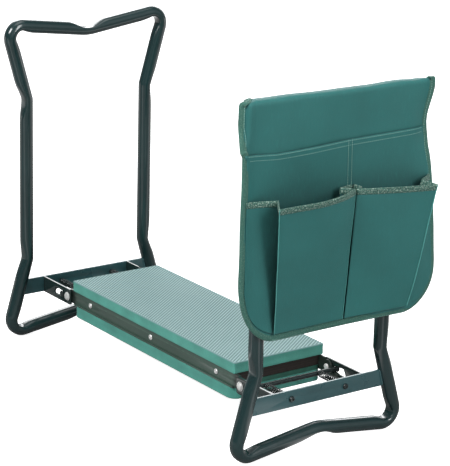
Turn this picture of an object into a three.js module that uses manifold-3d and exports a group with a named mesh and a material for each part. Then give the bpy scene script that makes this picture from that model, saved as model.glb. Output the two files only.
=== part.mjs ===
// Folding garden kneeler and seat with a hanging tool bag.
//
// Two hourglass loops of steel tube carry a padded board between them. One way up the board is a
// kneeler with two tall handles; the other way up it is a seat. Each loop is joined to a flat
// crossbar and two hinge plates, and folds inward over the board once its sprung rod is drawn out.
//
// Millimetres. +Z is up, +X runs along the board to the end that carries the bag, and -Y is the front.
// The origin is the middle of the kneeling pad's upper face. Heights below are measured from the
// ground, and the finished group is lowered to its origin at the very end.

import * as THREE from "three";
import { mergeVertices } from "three/addons/utils/BufferGeometryUtils.js";
import Module from "manifold-3d";

const wasm = await Module();
wasm.setup();

// ---------------------------------------------------------------- driving dimensions

const GAP = 0.3; // smallest air gap between neighbouring pieces

// Leg loops: closed hourglass of round tube, symmetric top to bottom.
const TUBE_RADIUS = 10;
const LOOP_X = 290.5; // from the middle of the board to the plane of each loop
const LOOP_HEIGHT = 470; // between the corner points of the top and bottom bars
const CORNER_Y = 136;
const WAIST_Y = 103.5;
const WAIST_RISE = 113.5; // from a corner to the start of the upright
const BAR_DIP = 18.5; // how far the middle of each bar bends inward
const CORNER_BEND = 18;
const WAIST_BEND = 14;
const DIP_BEND = 14;

// Hinge line, crossbars and hinge plates.
const PIVOT_X = 220;
const PIVOT_Z = 75.3;
const BAR_HEIGHT = 23.7;
const CROSSBAR_THICK = 3;
const PLATE_THICK = 3;
const PLATE_INNER_Y = 72.3;
const PLATE_OVERHANG = 8.5; // plate beyond the pivot, towards the board
const PIVOT_PIN_RADIUS = 3;

// Lock: a rod across the hinge plates, held in by two springs on bolts through the crossbar.
const ROD_RADIUS = 3.5;
const ROD_REACH = 14; // from the pivot to the rod when locked
const ROD_TRAVEL = 14;
const SPRING_Y = 44.5;
const SPRING_RADIUS = 4;
const SPRING_WIRE = 0.7;
const SPRING_TURNS = 9;
const SPRING_STEPS = 8; // facets in one turn
const BOLT_RADIUS = 2;
const BOLT_LENGTH = 40;

// Board: side rails, plywood core and plastic seat board.
const RAIL_OUTER_Y = 71.9;
const RAIL_THICK = 2.4;
const RAIL_BOTTOM_Z = 66.6;
const RAIL_TOP_Z = 87.4;
const RAIL_FLANGE = 3.2;
const RAIL_FLANGE_THICK = 2.2;
const RAIL_FLANGE_HALF = 202;
const HEEL_REACH = 24; // rail beyond the pivot, under the lock rod
const CORE_HALF = 202;
const CORE_BOTTOM_Z = 72.9;
const SEAT_BOARD_HALF = 203;
const SEAT_BOARD_TOP_Z = 72.6;
const SCREW_PITCH = 160;
const SCREW_Z = 77;
const SCREW_RADIUS = 2;
const SCREW_LENGTH = 18;

// Foam pads.
const KNEE_PAD = { length: 410, width: 150, bottom: 87.8, top: 103.6, corner: 2 };
const SEAT_PAD = { length: 407, width: 151, bottom: 49.8, top: 66.2, corner: 14 };

// Tool bag, hung over the top bar of the loop at +X.
const BAG_FACE_X = 305; // outer face of the bag's panel
const FABRIC_THICK = 2;
const BAG_TOP_Z = 486;
const BAG_BOTTOM_Z = 168;
const BAG_FRONT_Y = -146;
const BAG_REAR_Y = 162;
const BAG_FLAP_BOTTOM_Z = 398;
const BAG_FLAP_X = 277.4;
const FLAT_POCKET_TOP_Z = 424;
const POCKET_TOP_Z = 356;
const POCKET_BOTTOM_Z = 178;
const POCKET_DEPTH = 50;
const POCKET_BOTTOM_DEPTH = 16;
const POCKET_SPLIT_Y = 30;
const STRAP_Z = 250;
const STRAP_WIDTH = 25;

// Facets.
const TUBE_SIDES = 16;
const ROUND_SIDES = 16;
const BEND_STEP = Math.PI / 9; // turn between two facets of a bend

// ---------------------------------------------------------------- materials

const finish = (color, roughness, metalness) => new THREE.MeshStandardMaterial({ color, roughness, metalness });
const powderCoat = () => finish(0x2c4545, 0.35, 0.3);
const barCoat = () => finish(0x3c5558, 0.4, 0.3);
const brightZinc = () => finish(0xd6d8d6, 0.3, 0.9);
const blackZinc = () => finish(0x2b3032, 0.4, 0.8);
const plywood = () => finish(0x332a24, 0.7, 0);
const greenPlastic = () => finish(0x2f6a5a, 0.5, 0);
const kneeFoam = () => finish(0x8cb4b2, 0.85, 0);
const seatFoam = () => finish(0x4b9182, 0.8, 0);
const bagFabric = () => finish(0x366c68, 0.75, 0);
const bagWebbing = () => finish(0x4b7d6e, 0.8, 0);

// ---------------------------------------------------------------- outlines

// Walks a closed outline of corners {x, y, bend} and returns its points with unit directions. A
// corner with a bend becomes an arc of that radius, in equal turns.
function roundOff(corners) {
  const stations = [];
  corners.forEach((corner, i) => {
    const here = new THREE.Vector2(corner.x, corner.y);
    const before = corners[(i + corners.length - 1) % corners.length];
    const after = corners[(i + 1) % corners.length];
    const inward = new THREE.Vector2(before.x, before.y).sub(here).normalize();
    const onward = new THREE.Vector2(after.x, after.y).sub(here).normalize();
    if (!corner.bend) {
      stations.push({ point: here, direction: onward });
      return;
    }
    const opening = Math.acos(inward.dot(onward));
    const middle = inward.clone().add(onward).normalize();
    const centre = here.clone().addScaledVector(middle, corner.bend / Math.sin(opening / 2));
    const setback = corner.bend / Math.tan(opening / 2);
    const start = here.clone().addScaledVector(inward, setback).sub(centre);
    const turn = Math.sign(onward.cross(inward)) * (Math.PI - opening);
    const steps = Math.max(2, Math.ceil(Math.abs(turn) / BEND_STEP));
    for (let step = 0; step <= steps; step++) {
      const angle = (turn * step) / steps;
      const origin = new THREE.Vector2();
      const point = start.clone().rotateAround(origin, angle).add(centre);
      const direction = inward.clone().negate().rotateAround(origin, angle);
      stations.push({ point, direction });
    }
  });
  return stations;
}

const outline = (corners) => new THREE.Shape(roundOff(corners).map((station) => station.point));

function rectangle(x0, x1, y0, y1, bend = 0) {
  const corners = [
    [x0, y0],
    [x1, y0],
    [x1, y1],
    [x0, y1],
  ];
  return outline(corners.map(([x, y]) => ({ x, y, bend })));
}

function circle(x, y, radius, sides = ROUND_SIDES) {
  const points = [];
  for (let i = 0; i < sides; i++) {
    const angle = (2 * Math.PI * i) / sides;
    points.push(new THREE.Vector2(x + radius * Math.cos(angle), y + radius * Math.sin(angle)));
  }
  return new THREE.Shape(points);
}

// ---------------------------------------------------------------- solids

function extrude(shape, depth) {
  return new THREE.ExtrudeGeometry(shape, { depth, bevelEnabled: false });
}

// A shape drawn in (x, y), standing from z0 to z1.
function slab(shape, z0, z1) {
  return extrude(shape, z1 - z0).translate(0, 0, z0);
}

// A shape drawn in (x, z), filling from y0 to y1.
function plateAcrossY(shape, y0, y1) {
  return extrude(shape, y1 - y0).rotateX(Math.PI / 2).translate(0, y1, 0);
}

// A shape drawn in (y, z), filling from x0 to x1.
function plateAcrossX(shape, x0, x1) {
  return extrude(shape, x1 - x0).rotateX(Math.PI / 2).rotateZ(Math.PI / 2).translate(x0, 0, 0);
}

// A turned piece on the Y axis from [radius, y] pairs that start and end on the axis.
function turned(profile, sides = ROUND_SIDES) {
  return new THREE.LatheGeometry(profile.map(([radius, y]) => new THREE.Vector2(radius, y)), sides);
}

function toSolid(geometry) {
  const bare = geometry.clone();
  bare.deleteAttribute("normal");
  bare.deleteAttribute("uv");
  const merged = mergeVertices(bare, 1e-4);
  const vertProperties = new Float32Array(merged.attributes.position.array);
  const triVerts = new Uint32Array(merged.index.array);
  return new wasm.Manifold(new wasm.Mesh({ numProp: 3, vertProperties, triVerts }));
}

function toGeometry(solid) {
  const mesh = solid.getMesh();
  const geometry = new THREE.BufferGeometry();
  geometry.setAttribute("position", new THREE.BufferAttribute(mesh.vertProperties, 3));
  geometry.setIndex(new THREE.BufferAttribute(mesh.triVerts, 1));
  geometry.computeVertexNormals();
  return geometry;
}

const combine = (how, first, others) => toGeometry(others.reduce((sum, next) => sum[how](toSolid(next)), toSolid(first)));
const join = (first, ...others) => combine("add", first, others);
const cut = (first, ...others) => combine("subtract", first, others);
const common = (first, ...others) => combine("intersect", first, others);

// ---------------------------------------------------------------- leg loops

// The loop's centre line: in the (y, z) plane, standing so that its bent corners touch the ground.
class LoopPath extends THREE.Curve {
  constructor() {
    super();
    const half = [
      { x: -CORNER_Y, y: 0, bend: CORNER_BEND },
      { x: 0, y: BAR_DIP, bend: DIP_BEND },
      { x: CORNER_Y, y: 0, bend: CORNER_BEND },
      { x: WAIST_Y, y: WAIST_RISE, bend: WAIST_BEND },
      { x: WAIST_Y, y: LOOP_HEIGHT - WAIST_RISE, bend: WAIST_BEND },
    ];
    const corners = [...half, ...half.map(({ x, y, bend }) => ({ x: -x, y: LOOP_HEIGHT - y, bend }))];
    this.stations = roundOff(corners);
    const lowest = Math.min(...this.stations.map((station) => station.point.y));
    this.lift = TUBE_RADIUS - lowest;
  }

  station(u) {
    return this.stations[Math.round(u * this.stations.length) % this.stations.length];
  }

  getPointAt(u) {
    const { point } = this.station(u);
    return new THREE.Vector3(0, point.x, point.y + this.lift);
  }

  getTangentAt(u) {
    const { direction } = this.station(u);
    return new THREE.Vector3(0, direction.x, direction.y);
  }
}

const loopPath = new LoopPath();

function legLoop() {
  return new THREE.TubeGeometry(loopPath, loopPath.stations.length, TUBE_RADIUS, TUBE_SIDES, true);
}

// Half-width of clear space between the two legs at a height below the waist.
function clearHalfWidth(z) {
  const rise = (z - loopPath.lift) / WAIST_RISE;
  const centre = CORNER_Y + (WAIST_Y - CORNER_Y) * rise;
  const slope = Math.hypot(CORNER_Y - WAIST_Y, WAIST_RISE) / WAIST_RISE;
  return centre - TUBE_RADIUS * slope;
}

// ---------------------------------------------------------------- crossbar and hinge plates (+X end)

const BAR_BOTTOM_Z = PIVOT_Z - BAR_HEIGHT / 2;
const BAR_TOP_Z = PIVOT_Z + BAR_HEIGHT / 2;
const CROSSBAR_INNER_X = LOOP_X - CROSSBAR_THICK / 2;
const CROSSBAR_OUTER_X = LOOP_X + CROSSBAR_THICK / 2;
const ROD_X = PIVOT_X + ROD_REACH;

function crossbar() {
  const low = clearHalfWidth(BAR_BOTTOM_Z) - GAP;
  const high = clearHalfWidth(BAR_TOP_Z) - GAP;
  const shape = outline([
    { x: -low, y: BAR_BOTTOM_Z },
    { x: low, y: BAR_BOTTOM_Z },
    { x: high, y: BAR_TOP_Z },
    { x: -high, y: BAR_TOP_Z },
  ]);
  for (const side of [-1, 1]) shape.holes.push(circle(side * SPRING_Y, PIVOT_Z, BOLT_RADIUS + GAP));
  return plateAcrossX(shape, CROSSBAR_INNER_X, CROSSBAR_OUTER_X);
}

// The rod's slot: a seat at the locked end, flaring towards the crossbar.
function rodSlot() {
  const seat = ROD_RADIUS + GAP;
  const far = ROD_X + ROD_TRAVEL + seat;
  return outline([
    { x: ROD_X - seat, y: PIVOT_Z - seat, bend: seat * 0.8 },
    { x: far + 7, y: PIVOT_Z - seat - 1.4, bend: 2 },
    { x: far + 1, y: PIVOT_Z + seat + 2, bend: 2 },
    { x: ROD_X - seat, y: PIVOT_Z + seat, bend: seat * 0.8 },
  ]);
}

function hingePlate(side) {
  const inner = PIVOT_X - PLATE_OVERHANG;
  const outer = CROSSBAR_INNER_X - GAP;
  const shape = outline([
    { x: inner, y: BAR_BOTTOM_Z, bend: 2.5 },
    { x: outer, y: BAR_BOTTOM_Z },
    { x: outer, y: BAR_TOP_Z },
    { x: inner, y: BAR_TOP_Z, bend: 2.5 },
  ]);
  shape.holes.push(circle(PIVOT_X, PIVOT_Z, PIVOT_PIN_RADIUS + GAP), rodSlot());
  const [y0, y1] = side > 0 ? [PLATE_INNER_Y, PLATE_INNER_Y + PLATE_THICK] : [-PLATE_INNER_Y - PLATE_THICK, -PLATE_INNER_Y];
  return plateAcrossY(shape, y0, y1);
}

// A rivet through hinge plate and rail: domed head outside, flattened tail inside.
function pivotRivet(side) {
  const under = PLATE_INNER_Y + PLATE_THICK + GAP;
  const tail = RAIL_OUTER_Y - RAIL_THICK - GAP;
  const profile = [
    [0, tail - 2.2],
    [3.4, tail - 2.2],
    [4.5, tail - 1.3],
    [4.5, tail],
    [PIVOT_PIN_RADIUS, tail],
    [PIVOT_PIN_RADIUS, under],
    [6.5, under],
    [6.2, under + 1],
    [4.4, under + 2.1],
    [0, under + 2.6],
  ];
  const rivet = turned(profile);
  if (side < 0) rivet.rotateZ(Math.PI);
  return rivet.translate(PIVOT_X, 0, PIVOT_Z);
}

// ---------------------------------------------------------------- lock (+X end)

function lockRod() {
  const shoulder = PLATE_INNER_Y + PLATE_THICK + GAP * 2;
  const head = ROD_RADIUS + 1.2;
  const profile = [
    [0, -shoulder - 2.4],
    [head, -shoulder - 1.8],
    [head, -shoulder],
    [ROD_RADIUS, -shoulder],
    [ROD_RADIUS, shoulder],
    [head, shoulder],
    [head, shoulder + 1.8],
    [0, shoulder + 2.4],
  ];
  return turned(profile, 12).translate(ROD_X, 0, PIVOT_Z);
}

class SpringPath extends THREE.Curve {
  constructor(length) {
    super();
    this.length = length;
  }

  getPoint(t) {
    const angle = 2 * Math.PI * SPRING_TURNS * t;
    const pitch = this.length * t;
    return new THREE.Vector3(pitch, SPRING_RADIUS * Math.cos(angle), SPRING_RADIUS * Math.sin(angle));
  }
}

const NUT_THICK = 3.2;
const NUT_OUTER_X = CROSSBAR_INNER_X - GAP;

function lockSpring(side) {
  const start = ROD_X + ROD_RADIUS + SPRING_WIRE + GAP;
  const end = NUT_OUTER_X - NUT_THICK - SPRING_WIRE - GAP;
  const wire = circle(0, 0, SPRING_WIRE, 4);
  const extrudePath = new SpringPath(end - start);
  const steps = SPRING_TURNS * SPRING_STEPS;
  return new THREE.ExtrudeGeometry(wire, { steps, extrudePath }).translate(start, side * SPRING_Y, PIVOT_Z);
}

function springBolt(side) {
  const head = CROSSBAR_OUTER_X + GAP;
  const profile = [
    [0, head - BOLT_LENGTH],
    [BOLT_RADIUS, head - BOLT_LENGTH],
    [BOLT_RADIUS, head],
    [4, head],
    [4, head + 2],
    [2.6, head + 3],
    [0, head + 3.2],
  ];
  return turned(profile, 12).rotateZ(-Math.PI / 2).translate(0, side * SPRING_Y, PIVOT_Z);
}

function springNut(side) {
  const shape = circle(side * SPRING_Y, PIVOT_Z, 4, 6);
  shape.holes.push(circle(side * SPRING_Y, PIVOT_Z, BOLT_RADIUS + GAP, 12));
  return plateAcrossX(shape, NUT_OUTER_X - NUT_THICK, NUT_OUTER_X);
}

// ---------------------------------------------------------------- board

const screwPlaces = [-SCREW_PITCH, 0, SCREW_PITCH];

// Upper outline of a rail's end: the top edge stops short of the pivot, a round ear clears the lock
// rod as it swings up, and a heel below the rod stops the loop from splaying outward.
function railEnd(sign) {
  const ear = ROD_REACH - ROD_RADIUS - 0.4;
  const steps = 8;
  const first = Math.PI * 0.65;
  const points = [new THREE.Vector2(PIVOT_X + ear * Math.cos(first), RAIL_TOP_Z)];
  for (let step = 0; step <= steps; step++) {
    const angle = first * (1 - step / steps);
    points.push(new THREE.Vector2(PIVOT_X + ear * Math.cos(angle), PIVOT_Z + ear * Math.sin(angle)));
  }
  const heelTop = PIVOT_Z - ROD_RADIUS - 0.5;
  points.push(new THREE.Vector2(PIVOT_X + ear, heelTop));
  points.push(new THREE.Vector2(PIVOT_X + HEEL_REACH - 2, heelTop));
  points.push(new THREE.Vector2(PIVOT_X + HEEL_REACH, heelTop - 2));
  points.push(new THREE.Vector2(PIVOT_X + HEEL_REACH, RAIL_BOTTOM_Z));
  const placed = points.map(({ x, y }) => new THREE.Vector2(sign * x, y));
  return sign > 0 ? placed : placed.reverse();
}

function sideRail(side) {
  const web = new THREE.Shape([...railEnd(1), ...railEnd(-1)]);
  for (const end of [-1, 1]) web.holes.push(circle(end * PIVOT_X, PIVOT_Z, PIVOT_PIN_RADIUS + GAP));
  for (const place of screwPlaces) web.holes.push(circle(place, SCREW_Z, SCREW_RADIUS + GAP, 12));
  const webInner = RAIL_OUTER_Y - RAIL_THICK;
  const plate = plateAcrossY(web, webInner, RAIL_OUTER_Y);
  const flangeShape = rectangle(-RAIL_FLANGE_HALF, RAIL_FLANGE_HALF, webInner, RAIL_OUTER_Y + RAIL_FLANGE);
  const flange = slab(flangeShape, RAIL_BOTTOM_Z, RAIL_BOTTOM_Z + RAIL_FLANGE_THICK);
  const rail = join(plate, flange);
  return side > 0 ? rail : rail.rotateZ(Math.PI);
}

function screwBlank(place, side, radius, length) {
  const depth = new THREE.CylinderGeometry(radius, radius, length, 12);
  const inner = RAIL_OUTER_Y - length;
  return depth.translate(place, side * (inner + length / 2), SCREW_Z);
}

function coreBoard() {
  const half = RAIL_OUTER_Y - RAIL_THICK - GAP;
  const board = slab(rectangle(-CORE_HALF, CORE_HALF, -half, half), CORE_BOTTOM_Z, RAIL_TOP_Z);
  const bores = [];
  for (const side of [-1, 1]) {
    for (const place of screwPlaces) bores.push(screwBlank(place, side, SCREW_RADIUS + GAP, SCREW_LENGTH + 1));
  }
  return cut(board, ...bores);
}

function seatBoard() {
  const half = RAIL_OUTER_Y - RAIL_THICK - GAP;
  return slab(rectangle(-SEAT_BOARD_HALF, SEAT_BOARD_HALF, -half, half, 3), RAIL_BOTTOM_Z, SEAT_BOARD_TOP_Z);
}

function railScrew(place, side) {
  const head = RAIL_OUTER_Y + GAP;
  const profile = [
    [0, head - SCREW_LENGTH],
    [SCREW_RADIUS, head - SCREW_LENGTH + 3],
    [SCREW_RADIUS, head],
    [4, head],
    [3.6, head + 1.2],
    [0, head + 2],
  ];
  const screw = turned(profile, 12);
  if (side < 0) screw.rotateZ(Math.PI);
  return screw.translate(place, 0, SCREW_Z);
}

function foamPad({ length, width, bottom, top, corner }) {
  return slab(rectangle(-length / 2, length / 2, -width / 2, width / 2, corner), bottom, top);
}

// ---------------------------------------------------------------- tool bag

// Seen from outside: straight top fold, sides drawn in below it, wide rounded foot.
function bagOutline(inset = 0) {
  const front = BAG_FRONT_Y + inset;
  const rear = BAG_REAR_Y - inset;
  const waistZ = 420;
  return outline([
    { x: front + 2, y: BAG_BOTTOM_Z + inset, bend: 42 },
    { x: rear, y: BAG_BOTTOM_Z + inset, bend: 42 },
    { x: rear, y: POCKET_TOP_Z, bend: 20 },
    { x: rear - 12, y: waistZ, bend: 30 },
    { x: rear, y: BAG_TOP_Z + 1 },
    { x: front, y: BAG_TOP_Z + 1 },
  ]);
}

// One sheet: down the outside of the bar, over its top and part of the way down behind it.
function bagPanel() {
  const outer = BAG_FACE_X;
  const inner = outer - FABRIC_THICK;
  const behind = BAG_FLAP_X;
  const under = BAG_TOP_Z - FABRIC_THICK;
  const fold = 12;
  const section = outline([
    { x: outer, y: BAG_BOTTOM_Z },
    { x: outer, y: BAG_TOP_Z, bend: fold },
    { x: behind, y: BAG_TOP_Z, bend: fold },
    { x: behind, y: BAG_FLAP_BOTTOM_Z },
    { x: behind + FABRIC_THICK, y: BAG_FLAP_BOTTOM_Z },
    { x: behind + FABRIC_THICK, y: under, bend: fold - FABRIC_THICK },
    { x: inner, y: under, bend: fold - FABRIC_THICK },
    { x: inner, y: BAG_BOTTOM_Z },
  ]);
  return common(plateAcrossY(section, BAG_FRONT_Y, BAG_REAR_Y), plateAcrossX(bagOutline(), behind - 1, outer + 1));
}

const FLAT_POCKET_X = BAG_FACE_X + GAP;
const FLAT_POCKET_THICK = 1.5;
const POCKET_X = FLAT_POCKET_X + FLAT_POCKET_THICK + GAP;

function flatPocket() {
  const sheet = plateAcrossX(bagOutline(6), FLAT_POCKET_X, FLAT_POCKET_X + FLAT_POCKET_THICK);
  const window = plateAcrossX(
    rectangle(BAG_FRONT_Y, BAG_REAR_Y, BAG_BOTTOM_Z, FLAT_POCKET_TOP_Z),
    FLAT_POCKET_X - 1,
    FLAT_POCKET_X + FLAT_POCKET_THICK + 1,
  );
  return common(sheet, window);
}

// A pocket's body, shrunk on every side but the top by `wall`: deep at its mouth, shallow at its
// foot, with gussets that slope in towards its front.
function pocketBody(y0, y1, wall) {
  const back = POCKET_X + wall;
  const mouth = POCKET_X + POCKET_DEPTH - wall;
  const foot = POCKET_X + POCKET_BOTTOM_DEPTH - wall;
  const bottom = POCKET_BOTTOM_Z + wall;
  const top = POCKET_TOP_Z + (wall ? 1 : 0);
  const slope = 14;
  const side = outline([
    { x: back, y: bottom },
    { x: foot, y: bottom },
    { x: mouth, y: bottom + 90 },
    { x: mouth, y: top },
    { x: back, y: top },
  ]);
  const plan = outline([
    { x: back, y: y0 + wall },
    { x: mouth, y: y0 + slope + wall },
    { x: mouth, y: y1 - slope - wall },
    { x: back, y: y1 - wall },
  ]);
  const inside = plateAcrossX(bagOutline(8 + wall), back - 1, mouth + 1);
  return common(plateAcrossY(side, y0, y1), slab(plan, bottom, top), inside);
}

const pocket = (y0, y1) => cut(pocketBody(y0, y1, 0), pocketBody(y0, y1, FABRIC_THICK));

function legStrap(side) {
  const inner = TUBE_RADIUS + 0.5;
  const band = circle(LOOP_X, side * WAIST_Y, inner + 1.4, 20);
  band.holes.push(circle(LOOP_X, side * WAIST_Y, inner, 20));
  return slab(band, STRAP_Z - STRAP_WIDTH / 2, STRAP_Z + STRAP_WIDTH / 2);
}

// ---------------------------------------------------------------- assembly

const kneeler = new THREE.Group();
kneeler.position.z = -KNEE_PAD.top;

function place(name, geometry, material, parent = kneeler) {
  const mesh = new THREE.Mesh(geometry, material);
  mesh.name = name;
  parent.add(mesh);
}

// Both ends are one design: the left end is the right end turned half way round.
for (const [endName, turn] of [
  ["left", Math.PI],
  ["right", 0],
]) {
  const end = new THREE.Group();
  end.rotation.z = turn;
  kneeler.add(end);
  place(`${endName}_leg_loop`, legLoop().translate(LOOP_X, 0, 0), powderCoat(), end);
  place(`${endName}_crossbar`, crossbar(), barCoat(), end);
  place(`${endName}_lock_rod`, lockRod(), blackZinc(), end);
  for (const sideName of ["front", "rear"]) {
    const side = (sideName === "front" ? -1 : 1) * (turn ? -1 : 1);
    const prefix = `${endName}_${sideName}`;
    place(`${prefix}_hinge_plate`, hingePlate(side), barCoat(), end);
    place(`${prefix}_pivot_rivet`, pivotRivet(side), brightZinc(), end);
    place(`${prefix}_lock_spring`, lockSpring(side), blackZinc(), end);
    place(`${prefix}_spring_bolt`, springBolt(side), blackZinc(), end);
    place(`${prefix}_spring_nut`, springNut(side), blackZinc(), end);
  }
}

for (const [sideName, side] of [
  ["front", -1],
  ["rear", 1],
]) {
  place(`${sideName}_side_rail`, sideRail(side), powderCoat());
  screwPlaces.forEach((at, i) => place(`${sideName}_rail_screw_${i + 1}`, railScrew(at, side), brightZinc()));
}

place("core_board", coreBoard(), plywood());
place("seat_board", seatBoard(), greenPlastic());
place("kneeling_pad", foamPad(KNEE_PAD), kneeFoam());
place("seat_pad", foamPad(SEAT_PAD), seatFoam());

place("bag_panel", bagPanel(), bagFabric());
place("bag_flat_pocket", flatPocket(), bagFabric());
place("bag_front_pocket", pocket(BAG_FRONT_Y + 9, POCKET_SPLIT_Y - 1), bagFabric());
place("bag_rear_pocket", pocket(POCKET_SPLIT_Y + 1, BAG_REAR_Y - 9), bagFabric());
place("bag_front_strap", legStrap(-1), bagWebbing());
place("bag_rear_strap", legStrap(1), bagWebbing());

export default kneeler;
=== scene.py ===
"""Looks for the folding garden kneeler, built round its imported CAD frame.

Metres, +Z up. +X runs along the board to the end that carries the tool bag, -Y is the front, and the
origin is the middle of the kneeling pad's upper face. MM turns millimetres into metres.
"""

import math

import bmesh
import bpy
import numpy as np
from mathutils import Matrix, Quaternion, Vector, noise


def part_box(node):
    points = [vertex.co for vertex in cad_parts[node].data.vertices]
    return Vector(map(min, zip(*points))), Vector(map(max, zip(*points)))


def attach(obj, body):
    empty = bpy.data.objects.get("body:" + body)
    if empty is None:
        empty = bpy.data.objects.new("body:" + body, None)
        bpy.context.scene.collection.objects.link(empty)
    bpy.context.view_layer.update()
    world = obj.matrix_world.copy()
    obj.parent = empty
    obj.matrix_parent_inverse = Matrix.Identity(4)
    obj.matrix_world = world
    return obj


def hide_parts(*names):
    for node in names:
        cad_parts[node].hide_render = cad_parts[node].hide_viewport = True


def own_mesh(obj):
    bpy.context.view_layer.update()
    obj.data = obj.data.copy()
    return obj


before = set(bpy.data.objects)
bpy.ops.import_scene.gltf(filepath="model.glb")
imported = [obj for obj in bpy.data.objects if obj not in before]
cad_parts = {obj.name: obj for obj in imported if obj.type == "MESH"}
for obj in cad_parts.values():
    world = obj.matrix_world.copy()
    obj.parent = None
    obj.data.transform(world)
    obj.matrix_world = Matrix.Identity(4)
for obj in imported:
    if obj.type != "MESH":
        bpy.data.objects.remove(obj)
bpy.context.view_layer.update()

MM = 0.001
ENDS = (("left", -1), ("right", 1))
SIDES = (("front", -1), ("rear", 1))


# ---------------------------------------------------------------- procedural materials


class Graph:
    """Short chains of shader nodes that work on one set of coordinates."""

    def __init__(self, tree, coordinates):
        self.tree = tree
        self.place = self.add("TexCoord").outputs[coordinates]

    def connect(self, target, value):
        if isinstance(value, bpy.types.NodeSocket):
            self.tree.links.new(value, target)
        elif isinstance(value, tuple) and len(value) == 3 and target.type == "RGBA":
            target.default_value = (*value, 1)
        else:
            target.default_value = value

    def add(self, kind, inputs=None, **settings):
        node = self.tree.nodes.new("ShaderNode" + kind)
        for key, value in settings.items():
            setattr(node, key, value)
        for socket, value in (inputs or {}).items():
            self.connect(node.inputs[socket], value)
        return node

    def axis(self, vector, name):
        return self.add("SeparateXYZ", {0: vector}).outputs[name]

    def along(self, vector, direction):
        return self.add("VectorMath", {0: vector, 1: direction}, operation="DOT_PRODUCT").outputs["Value"]

    def noise(self, scale, detail=3):
        return self.streaks(self.place, scale, detail)

    def streaks(self, vector, scale, detail, shift=(0, 0, 0)):
        """Noise on a vector. A scale of three values stretches it into streaks."""
        if isinstance(scale, tuple):
            vector = self.add("Mapping", {"Vector": vector, "Location": shift, "Scale": scale}).outputs[0]
            scale = 1.0
        return self.add("TexNoise", {"Vector": vector, "Scale": scale, "Detail": detail}).outputs["Fac"]

    def cells(self, scale):
        return self.add("TexVoronoi", {"Vector": self.place, "Scale": scale}).outputs["Distance"]

    def math(self, operation, a, b=0.0):
        return self.add("Math", {0: a, 1: b}, operation=operation).outputs[0]

    def wave(self, value, pitch):
        """From -1 to 1 and back every pitch."""
        return self.math("SINE", self.math("MULTIPLY", value, 2 * math.pi / pitch))

    def remap(self, value, low, high, to_low=0.0, to_high=1.0):
        inputs = {"Value": value, "From Min": low, "From Max": high, "To Min": to_low, "To Max": to_high}
        return self.add("MapRange", inputs).outputs["Result"]

    def mix(self, factor, a, b):
        return self.add("Mix", {"Factor": factor, 6: a, 7: b}, data_type="RGBA").outputs[2]

    def drift(self, factor, colour, low, high, span=(0.3, 0.7)):
        """A colour that drifts between two shades of itself while factor crosses a span."""
        return self.mix(self.remap(factor, *span), shade(colour, low), shade(colour, high))


class Finish(Graph):
    """A procedural material with one Principled shader."""

    def __init__(self, name, **values):
        self.material = bpy.data.materials.new(name)
        self.material.use_nodes = True
        super().__init__(self.material.node_tree, "Object")
        self.shader = self.tree.nodes["Principled BSDF"]
        for socket, value in values.items():
            self.feed(socket.replace("_", " "), value)

    def feed(self, socket, value):
        self.connect(self.shader.inputs[socket], value)

    def bump(self, height, distance, strength):
        inputs = {"Height": height, "Distance": distance, "Strength": strength}
        self.feed("Normal", self.add("Bump", inputs).outputs["Normal"])


def srgb(red, green, blue):
    """An sRGB colour from 0 to 255 as the linear triple that shaders take."""
    shares = (c / 255 for c in (red, green, blue))
    return tuple(c / 12.92 if c <= 0.04045 else ((c + 0.055) / 1.055) ** 2.4 for c in shares)


def shade(colour, factor):
    return tuple(c * factor for c in colour)


def powder_coat(name, colour, rough, shade_painted_ends=False):
    """Baked powder coat: slight orange peel, cloudy colour, rubbed lighter on sharp edges. When asked, it
    paints shade near the two ends of the board, round the pivots, taking the colour almost to black."""
    f = Finish(name, Specular_IOR_Level=0.5)
    base = f.drift(f.noise(14, 4), colour, 0.85, 1.15)
    edge = f.add("NewGeometry").outputs["Pointiness"]
    rubbed = f.math("MULTIPLY", f.remap(edge, 0.53, 0.6), f.remap(f.noise(160, 2), 0.4, 0.65))
    base = f.mix(f.math("MULTIPLY", rubbed, 0.3), base, shade(colour, 2.4))
    if shade_painted_ends:
        # Painted shade: almost black past 196 mm from the board's middle, where the rail ends sit in shade.
        from_middle = f.math("ABSOLUTE", f.axis(f.place, "X"))
        base = f.mix(f.remap(from_middle, 196 * MM, 206 * MM, 0, 0.85), base, (0.006, 0.008, 0.007))
    f.feed("Base Color", base)
    f.feed("Roughness", f.remap(f.noise(30, 4), 0.3, 0.7, rough * 0.85, rough * 1.2))
    f.feed("Coat Weight", 0.5)
    f.feed("Coat Roughness", 0.07)
    f.bump(f.noise(420, 1), 0.012 * MM, 0.5)
    return f.material


def plated(name, colour, rough, metallic):
    """Zinc plate: fine rolling marks and a blotchy passivated film."""
    f = Finish(name, Metallic=metallic, Specular_IOR_Level=0.8)
    f.feed("Base Color", f.drift(f.noise(220), colour, 0.75, 1.1, (0.35, 0.65)))
    f.feed("Roughness", f.remap(f.noise(600), 0.3, 0.7, rough * 0.75, rough * 1.35))
    f.bump(f.streaks(f.place, (250, 4000, 4000), 2), 0.02 * MM, 0.15 + 0.4 * metallic)
    return f.material


def stained_plywood(name, dark, light):
    """Dark stained plywood: plies on the cut edge and grain along the board."""
    f = Finish(name, Roughness=0.7)
    wobble = f.math("MULTIPLY", f.noise(30), 1.6 * MM)
    plies = f.wave(f.math("ADD", f.axis(f.place, "Z"), wobble), 3.6 * MM)
    grain = f.streaks(f.place, (18, 500, 500), 4)
    both = f.math("ADD", f.remap(plies, -1, 1, 0, 0.5), f.math("MULTIPLY", grain, 0.5))
    f.feed("Base Color", f.mix(both, dark, light))
    f.bump(both, 0.15 * MM, 0.7)
    return f.material


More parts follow.
